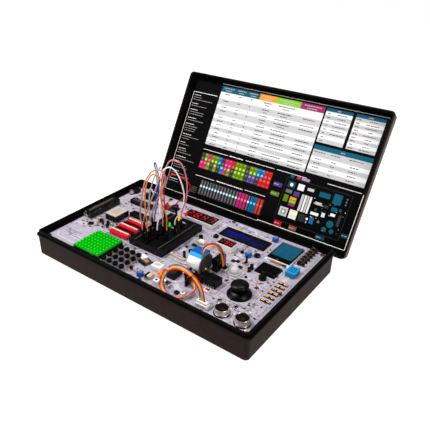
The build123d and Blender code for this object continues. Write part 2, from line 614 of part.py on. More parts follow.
# ---------------------------------------------------------------- two-axis stick
sx, sy = 113.5, -39.0
pivot_z = zp + 4.5
trunnion_r, trunnion_clear = 0.8, 0.06
with BuildPart() as stick_base:
    with BuildSketch(Plane.XZ.offset(-sy)):
        with BuildLine():
            Polyline((sx, zp), (sx + 14.5, zp), (sx + 14.5, zp + 1.0), (sx + 14.1, zp + 1.7))
            RadiusArc((sx + 14.1, zp + 1.7), (sx + 9.2, zp + 6.2), -11.0)
            Polyline((sx + 9.2, zp + 6.2), (sx, zp + 6.2), (sx, zp))
        make_face()
    revolve(axis=Axis((sx, sy, 0), (0, 0, 1)))
    with BuildSketch(Plane.XY.offset(zp + 1.2)):
        with Locations((sx, sy)):
            Circle(9.6)
    extrude(amount=3.8, mode=Mode.SUBTRACT)
    with BuildSketch(Plane.XY.offset(zp + 5.0)):
        with Locations((sx, sy)):
            Circle(8.4)
    extrude(amount=2.0, mode=Mode.SUBTRACT)
    with BuildSketch(Plane.YZ.offset(sx - 11.0)):
        with Locations((sy, pivot_z)):
            Circle(trunnion_r + trunnion_clear)
    extrude(amount=22.0, mode=Mode.SUBTRACT)
stick_base.part.label = "stick_base"
export_step(stick_base.part, "parts/stick_base.step")

with BuildPart() as stick_gimbal:
    with BuildSketch(Plane.XY.offset(pivot_z - 1.2)):
        with Locations((sx, sy)):
            Circle(6.0)
    extrude(amount=2.4)
    with BuildSketch(Plane.YZ.offset(sx - 10.8)):
        with Locations((sy, pivot_z)):
            Circle(trunnion_r)
    extrude(amount=21.6)
    with BuildSketch(Plane.XY.offset(pivot_z - 2.0)):
        with Locations((sx, sy)):
            Circle(4.4)
    extrude(amount=4.0, mode=Mode.SUBTRACT)
    with BuildSketch(Plane.XZ.offset(-(sy - 7.0))):
        with Locations((sx, pivot_z)):
            Circle(trunnion_r * 0.8 + trunnion_clear)
    extrude(amount=-14.0, mode=Mode.SUBTRACT)
stick_gimbal.part.label = "stick_gimbal"
export_step(stick_gimbal.part, "parts/stick_gimbal.step")

with BuildPart() as stick_cap:
    with BuildSketch(Plane.XZ.offset(-sy)) as cap_profile:
        with BuildLine():
            Polyline(
                (sx, pivot_z - 1.1), (sx + 2.6, pivot_z - 1.1), (sx + 2.6, pivot_z + 2.0), (sx + 3.2, pivot_z + 5.0),
                (sx + 6.0, pivot_z + 6.8), (sx + 9.6, pivot_z + 6.6), (sx + 10.3, pivot_z + 7.1), (sx + 10.5, pivot_z + 7.9),
                (sx + 10.3, pivot_z + 8.7), (sx + 9.6, pivot_z + 9.7), (sx + 8.4, pivot_z + 10.5), (sx + 6.8, pivot_z + 11.0),
                (sx + 4.6, pivot_z + 11.3), (sx, pivot_z + 11.4), (sx, pivot_z - 1.1),
            )
        make_face()
    revolve(axis=Axis((sx, sy, 0), (0, 0, 1)))
    with BuildSketch(Plane.XZ.offset(-(sy - 5.8))):
        with Locations((sx, pivot_z)):
            Circle(trunnion_r * 0.8)
    extrude(amount=-11.6)
stick_cap.part.label = "stick_cap"
export_step(stick_cap.part, "parts/stick_cap.step")

# ---------------------------------------------------------------- range sensor cans
can_xy = [(116.4, -77.3), (142.6, -77.8)]
with BuildPart() as range_sensor_cans:
    with BuildSketch(Plane.XY.offset(zp)):
        with Locations(*can_xy):
            Circle(9.0)
    extrude(amount=1.4)
    with BuildSketch(Plane.XY.offset(zp + 1.4)):
        with Locations(*can_xy):
            Circle(8.0)
    extrude(amount=6.6)
    fillet(range_sensor_cans.faces().group_by(Axis.Z)[-1].edges(), radius=0.6)
    with BuildSketch(Plane.XY.offset(zp + 8.0)):
        with Locations(*can_xy):
            Circle(6.3)
    extrude(amount=-3.0, mode=Mode.SUBTRACT)
    with BuildSketch(Plane.XY.offset(zp + 5.0)):
        with Locations(*can_xy):
            Circle(2.6)
    extrude(amount=1.4, taper=20)
range_sensor_cans.part.label = "range_sensor_cans"
export_step(range_sensor_cans.part, "parts/range_sensor_cans.step")

# ---------------------------------------------------------------- small motor lying on its edge
mo_x, mo_y, mo_r, mo_len = 42.7, -31.7, 14.0, 18.7
mo_z = zp + 14.2
with BuildPart() as motor_can:
    with BuildSketch(Plane.YZ.offset(mo_x)):
        with Locations((mo_y, mo_z)):
            Circle(mo_r)
    extrude(amount=mo_len)
    # wire cover on top
    with BuildSketch(Plane.YZ.offset(mo_x + 1.0)):
        with BuildLine():
            Polyline(
                (mo_y - 9.0, mo_z + 8.0), (mo_y - 7.6, mo_z + 13.6), (mo_y - 5.8, mo_z + 15.3),
                (mo_y + 8.0, mo_z + 15.3), (mo_y + 9.0, mo_z + 8.0), (mo_y - 9.0, mo_z + 8.0),
            )
        make_face()
    extrude(amount=16.7)
    # two fixing ears on the front plane
    with BuildSketch(Plane.YZ.offset(mo_x + mo_len - 0.8)):
        with Locations((mo_y - 10.6, mo_z - 12.5), (mo_y + 11.6, mo_z - 12.5)):
            Rectangle(7.0, 3.2)
    extrude(amount=0.8)
    # bearing bush of the shaft, eight off centre
    with BuildSketch(Plane.YZ.offset(mo_x + mo_len)):
        with Locations((mo_y, mo_z - 8.0)):
            Circle(4.5)
    extrude(amount=1.4)
    with BuildSketch(Plane.YZ.offset(mo_x + mo_len + 1.4)):
        with Locations((mo_y, mo_z - 8.0)):
            Circle(2.5)
    extrude(amount=-7.4, mode=Mode.SUBTRACT)
motor_can.part.label = "motor_can"
export_step(motor_can.part, "parts/motor_can.step")

with BuildPart() as motor_shaft:
    with BuildSketch(Plane.YZ.offset(mo_x + mo_len - 5.8)):
        with Locations((mo_y, mo_z - 8.0)):
            Circle(2.45)
    extrude(amount=12.2)
    # two flats at the free end
    with BuildSketch(Plane.YZ.offset(mo_x + mo_len + 6.4)):
        with Locations((mo_y - 2.5, mo_z - 8.0), (mo_y + 2.5, mo_z - 8.0)):
            Rectangle(1.8, 6)
    extrude(amount=-4.2, mode=Mode.SUBTRACT)
motor_shaft.part.label = "motor_shaft"
export_step(motor_shaft.part, "parts/motor_shaft.step")

# ---------------------------------------------------------------- fixed modules of the board
with BuildPart() as board_modules:
    # card socket, open to the front
    with BuildSketch(Plane.XY.offset(zp)):
        with Locations((-114, 47.5)):
            Rectangle(38, 9)
    extrude(amount=6.5)
    with BuildSketch(Plane.XZ.offset(-43.0)):
        with Locations((-114, zp + 3.4)):
            Rectangle(34, 2.6)
    extrude(amount=-6.0, mode=Mode.SUBTRACT)
    # tall black block at the back left
    with BuildSketch(Plane.XY.offset(zp)):
        with Locations((-117, 72)):
            Rectangle(16, 12)
    extrude(amount=9.0)
    # black driver block and upright behind the motor
    with BuildSketch(Plane.XY.offset(zp)):
        with Locations((79.0, -42.0)):
            Rectangle(17, 15)
    extrude(amount=9.0)
    with BuildSketch(Plane.XY.offset(zp)):
        with Locations((66.6, -12.5)):
            Rectangle(7.6, 19)
    extrude(amount=18.0)
    # motor plug socket
    with BuildSketch(Plane.XY.offset(zp)):
        with Locations((74.6, -12.0)):
            Rectangle(7.0, 6.0)
    extrude(amount=6.0)
    # black sensor box at the front, upright sensor card beside it
    with BuildSketch(Plane.XY.offset(zp)):
        with Locations((33.8, -56.4)):
            Rectangle(11.5, 17)
    extrude(amount=7.5)
    # metal slide switch in front of it
    with BuildSketch(Plane.XY.offset(zp)):
        with Locations((38.5, -77.0)):
            Rectangle(12, 8)
    extrude(amount=5.2)
    # black stand of the motor
    with BuildSketch(Plane.XY.offset(zp)):
        with Locations((53.0, -48.2)):
            Rectangle(20, 4.2)
    extrude(amount=8.0)
    with BuildSketch(Plane.XY.offset(zp)):
        with Locations((67.0, -43.2)):
            Rectangle(7.0, 12.4)
    extrude(amount=9.5)
    with BuildSketch(Plane.XY.offset(zp)):
        with Locations((57.4, -60.0)):
            Rectangle(3.6, 12.0)
    extrude(amount=21.0)
    # sensor ribbon socket with its plug
    with BuildSketch(Plane.XY.offset(zp)):
        with Locations((94.1, -81.8)):
            Rectangle(15, 7)
    extrude(amount=8.0)
    # sounder discs
    with BuildSketch(Plane.XY.offset(zp)):
        with Locations((89.6, 37.4)):
            Circle(4.2)
    extrude(amount=3.0)
    with BuildSketch(Plane.XY.offset(zp)):
        with Locations((119.2, 1.0)):
            Circle(4.7)
    extrude(amount=4.5)
    # dome sensor
    with BuildSketch(Plane.XY.offset(zp)):
        with Locations((86.0, -9.0)):
            Circle(8.2)
    extrude(amount=2.0)
    with Locations((86.0, -9.0, zp + 2.0)):
        Sphere(7.0, arc_size1=0, align=(Align.CENTER, Align.CENTER, Align.MIN))
    # front left small modules
    with BuildSketch(Plane.XY.offset(zp)):
        with Locations((10.0, -58.5)):
            RectangleRounded(14, 10, 1.5)
    extrude(amount=7.0)
    with BuildSketch(Plane.XY.offset(zp)):
        with Locations((12.7, -77.1)):
            Rectangle(9, 8)
    extrude(amount=4.6)
board_modules.part.label = "board_modules"
export_step(board_modules.part, "parts/board_modules.step")
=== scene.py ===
import math
import random

import bmesh
import bpy
from mathutils import Matrix, Vector


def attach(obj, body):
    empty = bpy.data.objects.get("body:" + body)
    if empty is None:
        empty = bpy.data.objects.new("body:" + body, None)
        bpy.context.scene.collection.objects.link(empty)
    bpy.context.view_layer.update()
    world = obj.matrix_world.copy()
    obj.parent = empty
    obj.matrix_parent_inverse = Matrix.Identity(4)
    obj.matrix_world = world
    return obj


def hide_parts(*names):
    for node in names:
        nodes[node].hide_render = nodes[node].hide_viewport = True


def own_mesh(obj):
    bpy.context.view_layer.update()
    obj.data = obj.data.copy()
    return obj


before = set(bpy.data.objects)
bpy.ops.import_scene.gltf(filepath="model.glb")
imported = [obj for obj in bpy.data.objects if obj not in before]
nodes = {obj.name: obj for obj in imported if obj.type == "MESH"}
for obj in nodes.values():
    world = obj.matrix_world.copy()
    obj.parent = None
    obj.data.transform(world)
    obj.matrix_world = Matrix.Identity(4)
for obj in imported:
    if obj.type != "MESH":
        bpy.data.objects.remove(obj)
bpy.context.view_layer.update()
scene = bpy.context.scene

# ------------------------------------------------------------------ levels of the part, in mm
ZP = 30.5                 # top face of the board
Z_RIM = 39.0              # where the closed lid's rim lies
ZB = ZP + 9.0             # top face of the breadboard
OPEN = math.radians(119.11)
LID_O = Vector((0.0, 133.59, 5.80))
LID_V = Vector((0.0, -math.cos(OPEN), math.sin(OPEN)))
LID_W = Vector((0.0, -math.sin(OPEN), -math.cos(OPEN)))

# ------------------------------------------------------------------ camera
yaw, pitch, roll = math.radians(36.85), math.radians(31.33), math.radians(0.57)
fwd = Vector((-math.sin(yaw) * math.cos(pitch), math.cos(yaw) * math.cos(pitch), -math.sin(pitch)))
right = Vector((math.cos(yaw), math.sin(yaw), 0.0))
up = right.cross(fwd)
cam_r = right * math.cos(roll) + up * math.sin(roll)
cam_u = up * math.cos(roll) - right * math.sin(roll)
cam_data = bpy.data.cameras.new("camera")
cam_data.sensor_width = 36.0
cam_data.lens = 42.74
cam_data.shift_x = 0.033
cam_data.shift_y = 0.043
cam_data.clip_start = 0.02
cam_data.clip_end = 30.0
cam = bpy.data.objects.new("camera", cam_data)
cam.matrix_world = Matrix((
    (cam_r.x, cam_u.x, -fwd.x, 0.3496),
    (cam_r.y, cam_u.y, -fwd.y, -0.42701),
    (cam_r.z, cam_u.z, -fwd.z, 0.38445),
    (0.0, 0.0, 0.0, 1.0),
))
scene.collection.objects.link(cam)
scene.camera = cam
scene.view_settings.view_transform = "Standard"
scene.view_settings.look = "None"


# ------------------------------------------------------------------ materials
def lin(v):
    v /= 255.0
    return v / 12.92 if v <= 0.04045 else ((v + 0.055) / 1.055) ** 2.4


def shade(col, k):
    return tuple(min(1.0, c * k) for c in col[:3]) + (1.0,)


def C(r, g, b):
    return (lin(r), lin(g), lin(b), 1.0)


def material(name, col, rough=0.45, metal=0.0, spec=0.5, coat=0.0, coat_rough=0.12, bump=0.0, bscale=1400.0,
             var=0.08, vscale=120.0, rvar=0.06, emit=0.0, emit_col=None, trans=0.0, ior=1.46, stretch=None, sss=0.0, painted_light_split=None):
    m = bpy.data.materials.new(name)
    m.use_nodes = True
    nt = m.node_tree
    b = nt.nodes["Principled BSDF"]
    b.inputs["Metallic"].default_value = metal
    b.inputs["Specular IOR Level"].default_value = spec
    b.inputs["Coat Weight"].default_value = coat
    b.inputs["Coat Roughness"].default_value = coat_rough
    b.inputs["Transmission Weight"].default_value = trans
    b.inputs["IOR"].default_value = ior
    if sss:
        b.inputs["Subsurface Weight"].default_value = sss
        b.inputs["Subsurface Radius"].default_value = (0.002, 0.0015, 0.001)
    if emit:
        b.inputs["Emission Color"].default_value = emit_col or col
        b.inputs["Emission Strength"].default_value = emit
    tc = nt.nodes.new("ShaderNodeTexCoord")
    src = tc.outputs["Object"]
    if stretch:
        mp = nt.nodes.new("ShaderNodeMapping")
        mp.inputs["Scale"].default_value = stretch
        nt.links.new(src, mp.inputs["Vector"])
        src = mp.outputs["Vector"]
    n1 = nt.nodes.new("ShaderNodeTexNoise")
    n1.inputs["Scale"].default_value = vscale
    n1.inputs["Detail"].default_value = 5.0
    nt.links.new(src, n1.inputs["Vector"])
    ramp = nt.nodes.new("ShaderNodeValToRGB")
    ramp.color_ramp.elements[0].position = 0.3
    ramp.color_ramp.elements[1].position = 0.7
    ramp.color_ramp.elements[0].color = shade(col, 1.0 - var)
    ramp.color_ramp.elements[1].color = shade(col, 1.0 + var)
    nt.links.new(n1.outputs["Fac"], ramp.inputs["Fac"])
    if painted_light_split:  # two colours either side of a level along one axis: here the lighter one is painted warm light on the case and lid walls
        sep = nt.nodes.new("ShaderNodeSeparateXYZ")
        nt.links.new(tc.outputs["Object"], sep.inputs["Vector"])
        lv = nt.nodes.new("ShaderNodeMapRange")
        lv.inputs["From Min"].default_value = painted_light_split[1]
        lv.inputs["From Max"].default_value = painted_light_split[2]
        nt.links.new(sep.outputs[painted_light_split[0]], lv.inputs["Value"])
        fac = lv.outputs["Result"]
        if len(painted_light_split) > 4:  # and everywhere nearer the middle than these half widths
            inside = None
            for axis, half in zip("XY", painted_light_split[4]):
                ab = nt.nodes.new("ShaderNodeMath")
                ab.operation = "ABSOLUTE"
                nt.links.new(sep.outputs[axis], ab.inputs[0])
                lt = nt.nodes.new("ShaderNodeMath")
                lt.operation = "LESS_THAN"
                lt.inputs[1].default_value = half
                nt.links.new(ab.outputs[0], lt.inputs[0])
                if inside is None:
                    inside = lt.outputs[0]
                else:
                    mu = nt.nodes.new("ShaderNodeMath")
                    mu.operation = "MULTIPLY"
                    nt.links.new(inside, mu.inputs[0])
                    nt.links.new(lt.outputs[0], mu.inputs[1])
                    inside = mu.outputs[0]
            top = nt.nodes.new("ShaderNodeMath")
            top.operation = "MAXIMUM"
            nt.links.new(fac, top.inputs[0])
            nt.links.new(inside, top.inputs[1])
            fac = top.outputs[0]
        mx_ = nt.nodes.new("ShaderNodeMix")
        mx_.data_type = "RGBA"
        mx_.inputs[7].default_value = painted_light_split[3]
        nt.links.new(fac, mx_.inputs[0])
        nt.links.new(ramp.outputs["Color"], mx_.inputs[6])
        nt.links.new(mx_.outputs[2], b.inputs["Base Color"])
    else:
        nt.links.new(ramp.outputs["Color"], b.inputs["Base Color"])
    mr = nt.nodes.new("ShaderNodeMapRange")
    mr.inputs["From Min"].default_value = 0.3
    mr.inputs["From Max"].default_value = 0.7
    mr.inputs["To Min"].default_value = max(0.02, rough - rvar)
    mr.inputs["To Max"].default_value = min(1.0, rough + rvar)
    nt.links.new(n1.outputs["Fac"], mr.inputs["Value"])
    nt.links.new(mr.outputs["Result"], b.inputs["Roughness"])
    if bump:
        n2 = nt.nodes.new("ShaderNodeTexNoise")
        n2.inputs["Scale"].default_value = bscale
        n2.inputs["Detail"].default_value = 3.0
        nt.links.new(src, n2.inputs["Vector"])
        bp = nt.nodes.new("ShaderNodeBump")
        bp.inputs["Strength"].default_value = bump
        bp.inputs["Distance"].default_value = 0.0004
        nt.links.new(n2.outputs["Fac"], bp.inputs["Height"])
        nt.links.new(bp.outputs["Normal"], b.inputs["Normal"])
    return m


MAT = {}
for args in (
    # case: the warm brown on the outer walls below the bead is painted warm light on the walls; the near-black above
    # the bead top and inside the walls is the case's own colour
    dict(name="case_black_painted_warm_light", col=C(41, 30, 27), rough=0.50, spec=0.04, bump=0.3, bscale=2200, var=0.22, rvar=0.06, painted_light_split=("Z", 0.0349, 0.0356, C(7, 6, 6), (0.1612, 0.0970))),
    # lid: the brown on the right outer face past x = 0.165 is painted warm light on the lit side; the rest is the lid's
    # own black
    dict(name="lid_black_painted_side_light", col=C(10, 8, 8), rough=0.42, spec=0.10, bump=0.25, bscale=2200, var=0.16, rvar=0.06, painted_light_split=("X", 0.1650, 0.1654, C(52, 38, 33))),
    dict(name="foot_rubber", col=C(24, 24, 25), rough=0.85, spec=0.3, bump=0.5, var=0.2),
    dict(name="steel", col=C(196, 194, 190), rough=0.28, metal=1.0, stretch=(1, 12, 12), var=0.12),
    dict(name="nickel", col=C(205, 200, 192), rough=0.22, metal=1.0, var=0.10),
    dict(name="tin", col=C(186, 184, 180), rough=0.38, metal=1.0, var=0.15),
    dict(name="brass", col=C(196, 152, 72), rough=0.26, metal=1.0, var=0.12),
    dict(name="gold", col=C(190, 134, 52), rough=0.28, metal=1.0, var=0.14),
    dict(name="copper_dark", col=C(104, 74, 54), rough=0.35, metal=0.6, var=0.2),
    dict(name="board", col=C(160, 154, 167), rough=0.40, spec=0.25, var=0.10, vscale=160, bump=0.10, bscale=900),
    dict(name="trace", col=C(96, 88, 106), rough=0.40, spec=0.25, var=0.06),
    dict(name="trace_light", col=C(206, 200, 214), rough=0.40, spec=0.3, var=0.04),
    dict(name="silk", col=C(52, 45, 54), rough=0.5, spec=0.2, var=0.10),
    dict(name="silk_dark", col=C(40, 35, 40), rough=0.5, spec=0.2, var=0.12),
    dict(name="black_gloss", col=C(4, 4, 5), rough=0.16, spec=0.30, var=0.2, rvar=0.04),
    dict(name="black_satin", col=C(5, 5, 5), rough=0.32, spec=0.16, bump=0.12, var=0.2),
    dict(name="black_matte", col=C(5, 5, 5), rough=0.5, spec=0.08, bump=0.2, var=0.25),
    dict(name="painted_lit_grey", col=C(150, 148, 148), rough=0.35, spec=0.4, var=0.12),
    dict(name="key_metal", col=C(176, 172, 174), rough=0.34, metal=0.55, spec=0.5, var=0.10),
    dict(name="trimmer_dial", col=C(120, 132, 132), rough=0.30, spec=0.4, var=0.08),
    dict(name="black_line", col=C(7, 7, 7), rough=0.35, spec=0.3, var=0.2),
    dict(name="hole_black", col=C(4, 4, 4), rough=0.8, spec=0.1, var=0.3),
    dict(name="chip_black", col=C(9, 9, 10), rough=0.42, spec=0.14, bump=0.25, var=0.2),
    dict(name="grey_dark", col=C(30, 28, 28), rough=0.42, spec=0.2, var=0.12, bump=0.2),
    dict(name="grey_mid", col=C(120, 116, 114), rough=0.45, var=0.10, bump=0.1),
    dict(name="rubber_black", col=C(4, 4, 4), rough=0.24, spec=0.10, bump=0.15, bscale=3000, var=0.2, rvar=0.04),
    dict(name="stick_black", col=C(3, 3, 4), rough=0.36, spec=0.16, bump=0.12, bscale=2600, var=0.2, rvar=0.04),
    dict(name="green_lit", col=C(0, 140, 3), rough=0.4, spec=0.05, emit=0.015, emit_col=C(0, 200, 0), var=0.10, vscale=200),
    dict(name="green_dome", col=C(10, 190, 10), rough=0.3, spec=0.10, emit=0.48, emit_col=C(30, 250, 18), var=0.05),
    dict(name="green_edge", col=C(3, 70, 12), rough=0.35, emit=0.03, emit_col=C(0, 160, 20), var=0.1),
    # switch banks: the small emission is a painted glow that brightens the red sides; the bodies give no light
    dict(name="red_gloss_painted_glow", col=C(206, 6, 16), rough=0.18, spec=0.4, coat=0.2, coat_rough=0.08, var=0.05, emit=0.05, emit_col=C(255, 20, 30)),
    dict(name="slider_white", col=C(240, 238, 234), rough=0.3, var=0.03),
    dict(name="cream", col=C(176, 164, 152), rough=0.42, spec=0.25, var=0.08, vscale=300),
    dict(name="cream_ink", col=C(126, 116, 108), rough=0.5, var=0.08),
    dict(name="white_plastic", col=C(236, 234, 230), rough=0.35, var=0.03, bump=0.06),
    dict(name="beige_plastic", col=C(206, 192, 176), rough=0.42, var=0.07, bump=0.08),
    dict(name="brown_part", col=C(150, 112, 84), rough=0.45, var=0.14),
    dict(name="tan_part", col=C(196, 160, 126), rough=0.42, var=0.10),
    dict(name="seg_face", col=C(8, 3, 4), rough=0.22, spec=0.2, var=0.15),
    dict(name="seg_on", col=C(200, 12, 22), rough=0.3, spec=0.2, emit=0.24, emit_col=C(255, 18, 32), var=0.05),
    dict(name="seg_off", col=C(52, 16, 18), rough=0.35, var=0.1),
    dict(name="lcd_black", col=C(3, 3, 3), rough=0.45, spec=0.06, var=0.2),
    dict(name="lcd_navy", col=C(2, 2, 22), rough=0.3, spec=0.10, var=0.15),
    dict(name="lcd_blue", col=C(2, 4, 60), rough=0.4, spec=0.04, emit=0.34, emit_col=C(4, 8, 200), var=0.10),
    dict(name="lcd_blue_dim", col=C(2, 3, 36), rough=0.4, spec=0.04, emit=0.07, emit_col=C(4, 8, 190), var=0.10),
    dict(name="trimmer_blue", col=C(6, 84, 170), rough=0.26, spec=0.2, coat=0.15, var=0.07),
    dict(name="teal_screen", col=C(2, 66, 92), rough=0.30, spec=0.10, emit=0.05, emit_col=C(0, 120, 160), var=0.04),
    dict(name="dot_screen", col=C(2, 2, 3), rough=0.12, spec=0.18, var=0.2, rvar=0.03),
    dict(name="flex_orange", col=C(140, 76, 16), rough=0.35, spec=0.4, var=0.12),
    dict(name="sensor_cyan", col=C(8, 132, 186), rough=0.36, spec=0.3, var=0.10, bump=0.12),
    dict(name="cover_blue", col=C(2, 86, 152), rough=0.38, spec=0.12, var=0.07, bump=0.08),
    dict(name="cover_painted_highlight", col=C(22, 158, 232), rough=0.34, spec=0.4, var=0.06, bump=0.08),
    dict(name="can_silver", col=C(246, 246, 248), rough=0.34, metal=0.35, spec=0.6, var=0.04, stretch=(14, 1, 1)),
    dict(name="disc_painted_shade", col=C(50, 48, 47), rough=0.42, spec=0.25, var=0.14, rvar=0.08),
    dict(name="can_grey", col=C(70, 67, 66), rough=0.45, metal=0.5, var=0.18),
    dict(name="aluminium", col=C(206, 200, 192), rough=0.34, metal=1.0, var=0.22, vscale=260),
    dict(name="mesh_brown", col=C(20, 16, 14), rough=0.5, metal=0.4, spec=0.2, var=0.3),
    dict(name="led_green", col=C(16, 200, 44), rough=0.12, spec=0.6, emit=0.5, emit_col=C(10, 235, 40), var=0.04, sss=0.2),
    dict(name="led_yellow", col=C(240, 190, 10), rough=0.12, spec=0.6, emit=0.35, emit_col=C(255, 200, 0), var=0.04, sss=0.2),
    dict(name="led_red", col=C(225, 24, 36), rough=0.12, spec=0.6, emit=0.45, emit_col=C(255, 20, 30), var=0.04, sss=0.2),
    dict(name="resistor_blue", col=C(120, 190, 214), rough=0.32, var=0.06),
    dict(name="band_red", col=C(170, 40, 34), rough=0.4),
    dict(name="band_black", col=C(30, 28, 28), rough=0.4),
    dict(name="dome_white", col=C(208, 202, 206), rough=0.24, spec=0.5, trans=0.15, sss=0.3, var=0.05),
    dict(name="module_green", col=C(34, 52, 46), rough=0.35, coat=0.2, var=0.1),
    dict(name="module_blue", col=C(30, 60, 120), rough=0.35, coat=0.2, var=0.1),
    dict(name="orange_part", col=C(238, 130, 30), rough=0.35, var=0.07),
    dict(name="wire_orange", col=C(240, 122, 2), rough=0.38, spec=0.2, var=0.05, bump=0.05),
    dict(name="wire_salmon", col=C(198, 128, 108), rough=0.40, var=0.05, bump=0.05),
    dict(name="wire_grey", col=C(168, 160, 156), rough=0.40, var=0.05, bump=0.05),
    dict(name="wire_blue", col=C(4, 70, 152), rough=0.38, spec=0.2, var=0.05, bump=0.05),
    dict(name="wire_white", col=C(252, 250, 248), rough=0.40, var=0.03, bump=0.05),
    dict(name="wire_pink", col=C(206, 132, 140), rough=0.40, var=0.05, bump=0.05),
    dict(name="wire_red", col=C(190, 10, 16), rough=0.38, spec=0.2, var=0.05, bump=0.05),
    dict(name="wire_yellow", col=C(255, 214, 16), rough=0.38, spec=0.2, var=0.05, bump=0.05),
    dict(name="wire_navy", col=C(4, 72, 158), rough=0.38, spec=0.2, var=0.05, bump=0.05),
    dict(name="wire_pale", col=C(232, 120, 116), rough=0.40, var=0.05, bump=0.05),
    # print inks of the lid card
    dict(name="card_black", col=C(3, 3, 3), rough=0.45, spec=0.05, var=0.2, bump=0.08, bscale=1500),
    dict(name="ink_white", col=C(226, 226, 227), rough=0.5, spec=0.2, var=0.02),
    dict(name="ink_row", col=C(184, 184, 186), rough=0.5, spec=0.2, var=0.02),
    dict(name="ink_line", col=C(236, 232, 230), rough=0.5, spec=0.3, var=0.03),
    dict(name="ink_col", col=C(150, 148, 150), rough=0.5, spec=0.1, var=0.05),
    dict(name="ink_grey", col=C(104, 102, 106), rough=0.5, spec=0.1, var=0.05),
    dict(name="ink_dash", col=C(44, 44, 48), rough=0.5, spec=0.1, var=0.05),
    dict(name="ink_darkgrey", col=C(48, 48, 52), rough=0.5, spec=0.1, var=0.08),
    dict(name="ink_teal", col=C(3, 84, 108), rough=0.5, spec=0.1, var=0.04),
    dict(name="ink_teal_dark", col=C(4, 62, 78), rough=0.5, spec=0.1, var=0.04),
    dict(name="ink_orange", col=C(245, 146, 30), rough=0.5, spec=0.1, var=0.04),
    dict(name="ink_lime", col=C(128, 196, 26), rough=0.5, spec=0.1, var=0.04),
    dict(name="ink_olive", col=C(92, 122, 16), rough=0.5, spec=0.1, var=0.06),
    dict(name="ink_dotlime", col=C(172, 216, 70), rough=0.5, spec=0.1, var=0.04),
    dict(name="ink_magenta", col=C(150, 36, 100), rough=0.5, spec=0.1, var=0.04),
    dict(name="ink_pink", col=C(180, 30, 94), rough=0.5, spec=0.1, var=0.05),
    dict(name="ink_dotpink", col=C(240, 96, 160), rough=0.5, spec=0.1, var=0.04),
    dict(name="ink_blue", col=C(8, 100, 156), rough=0.5, spec=0.1, var=0.05),
    dict(name="ink_dotblue", col=C(96, 200, 240), rough=0.5, spec=0.1, var=0.04),
    dict(name="ink_red", col=C(182, 22, 24), rough=0.5, spec=0.1, var=0.05),
    dict(name="ink_dotred", col=C(226, 84, 80), rough=0.5, spec=0.1, var=0.04),
    dict(name="ink_violet", col=C(74, 54, 130), rough=0.5, spec=0.1, var=0.05),
    dict(name="ink_lilac", col=C(152, 132, 172), rough=0.5, spec=0.1, var=0.05),
    dict(name="ink_brown", col=C(130, 80, 54), rough=0.5, spec=0.1, var=0.05),
    dict(name="ink_cyan", col=C(30, 168, 214), rough=0.5, spec=0.1, var=0.05),
    dict(name="ink_pale1", col=C(250, 214, 208), rough=0.5, spec=0.1, var=0.03),
    dict(name="ink_pale2", col=C(250, 236, 180), rough=0.5, spec=0.1, var=0.03),
    dict(name="ink_pale3", col=C(186, 226, 236), rough=0.5, spec=0.1, var=0.03),
):
    MAT[args["name"]] = material(**args)


# ------------------------------------------------------------------ mesh builder, in mm
def axis_matrix(c, axis):
    c = Vector(c)
    if axis == "X":
        cols = (Vector((0, 1, 0)), Vector((0, 0, 1)), Vector((1, 0, 0)))
    elif axis == "-X":
        cols = (Vector((0, -1, 0)), Vector((0, 0, 1)), Vector((-1, 0, 0)))
    elif axis == "Y":
        cols = (Vector((0, 0, 1)), Vector((1, 0, 0)), Vector((0, 1, 0)))
    elif axis == "-Y":
        cols = (Vector((1, 0, 0)), Vector((0, 0, 1)), Vector((0, -1, 0)))
    else:
        cols = (Vector((1, 0, 0)), Vector((0, 1, 0)), Vector((0, 0, 1)))
    return Matrix((
        (cols[0].x, cols[1].x, cols[2].x, c.x),
        (cols[0].y, cols[1].y, cols[2].y, c.y),
        (cols[0].z, cols[1].z, cols[2].z, c.z),
        (0, 0, 0, 1),
    ))


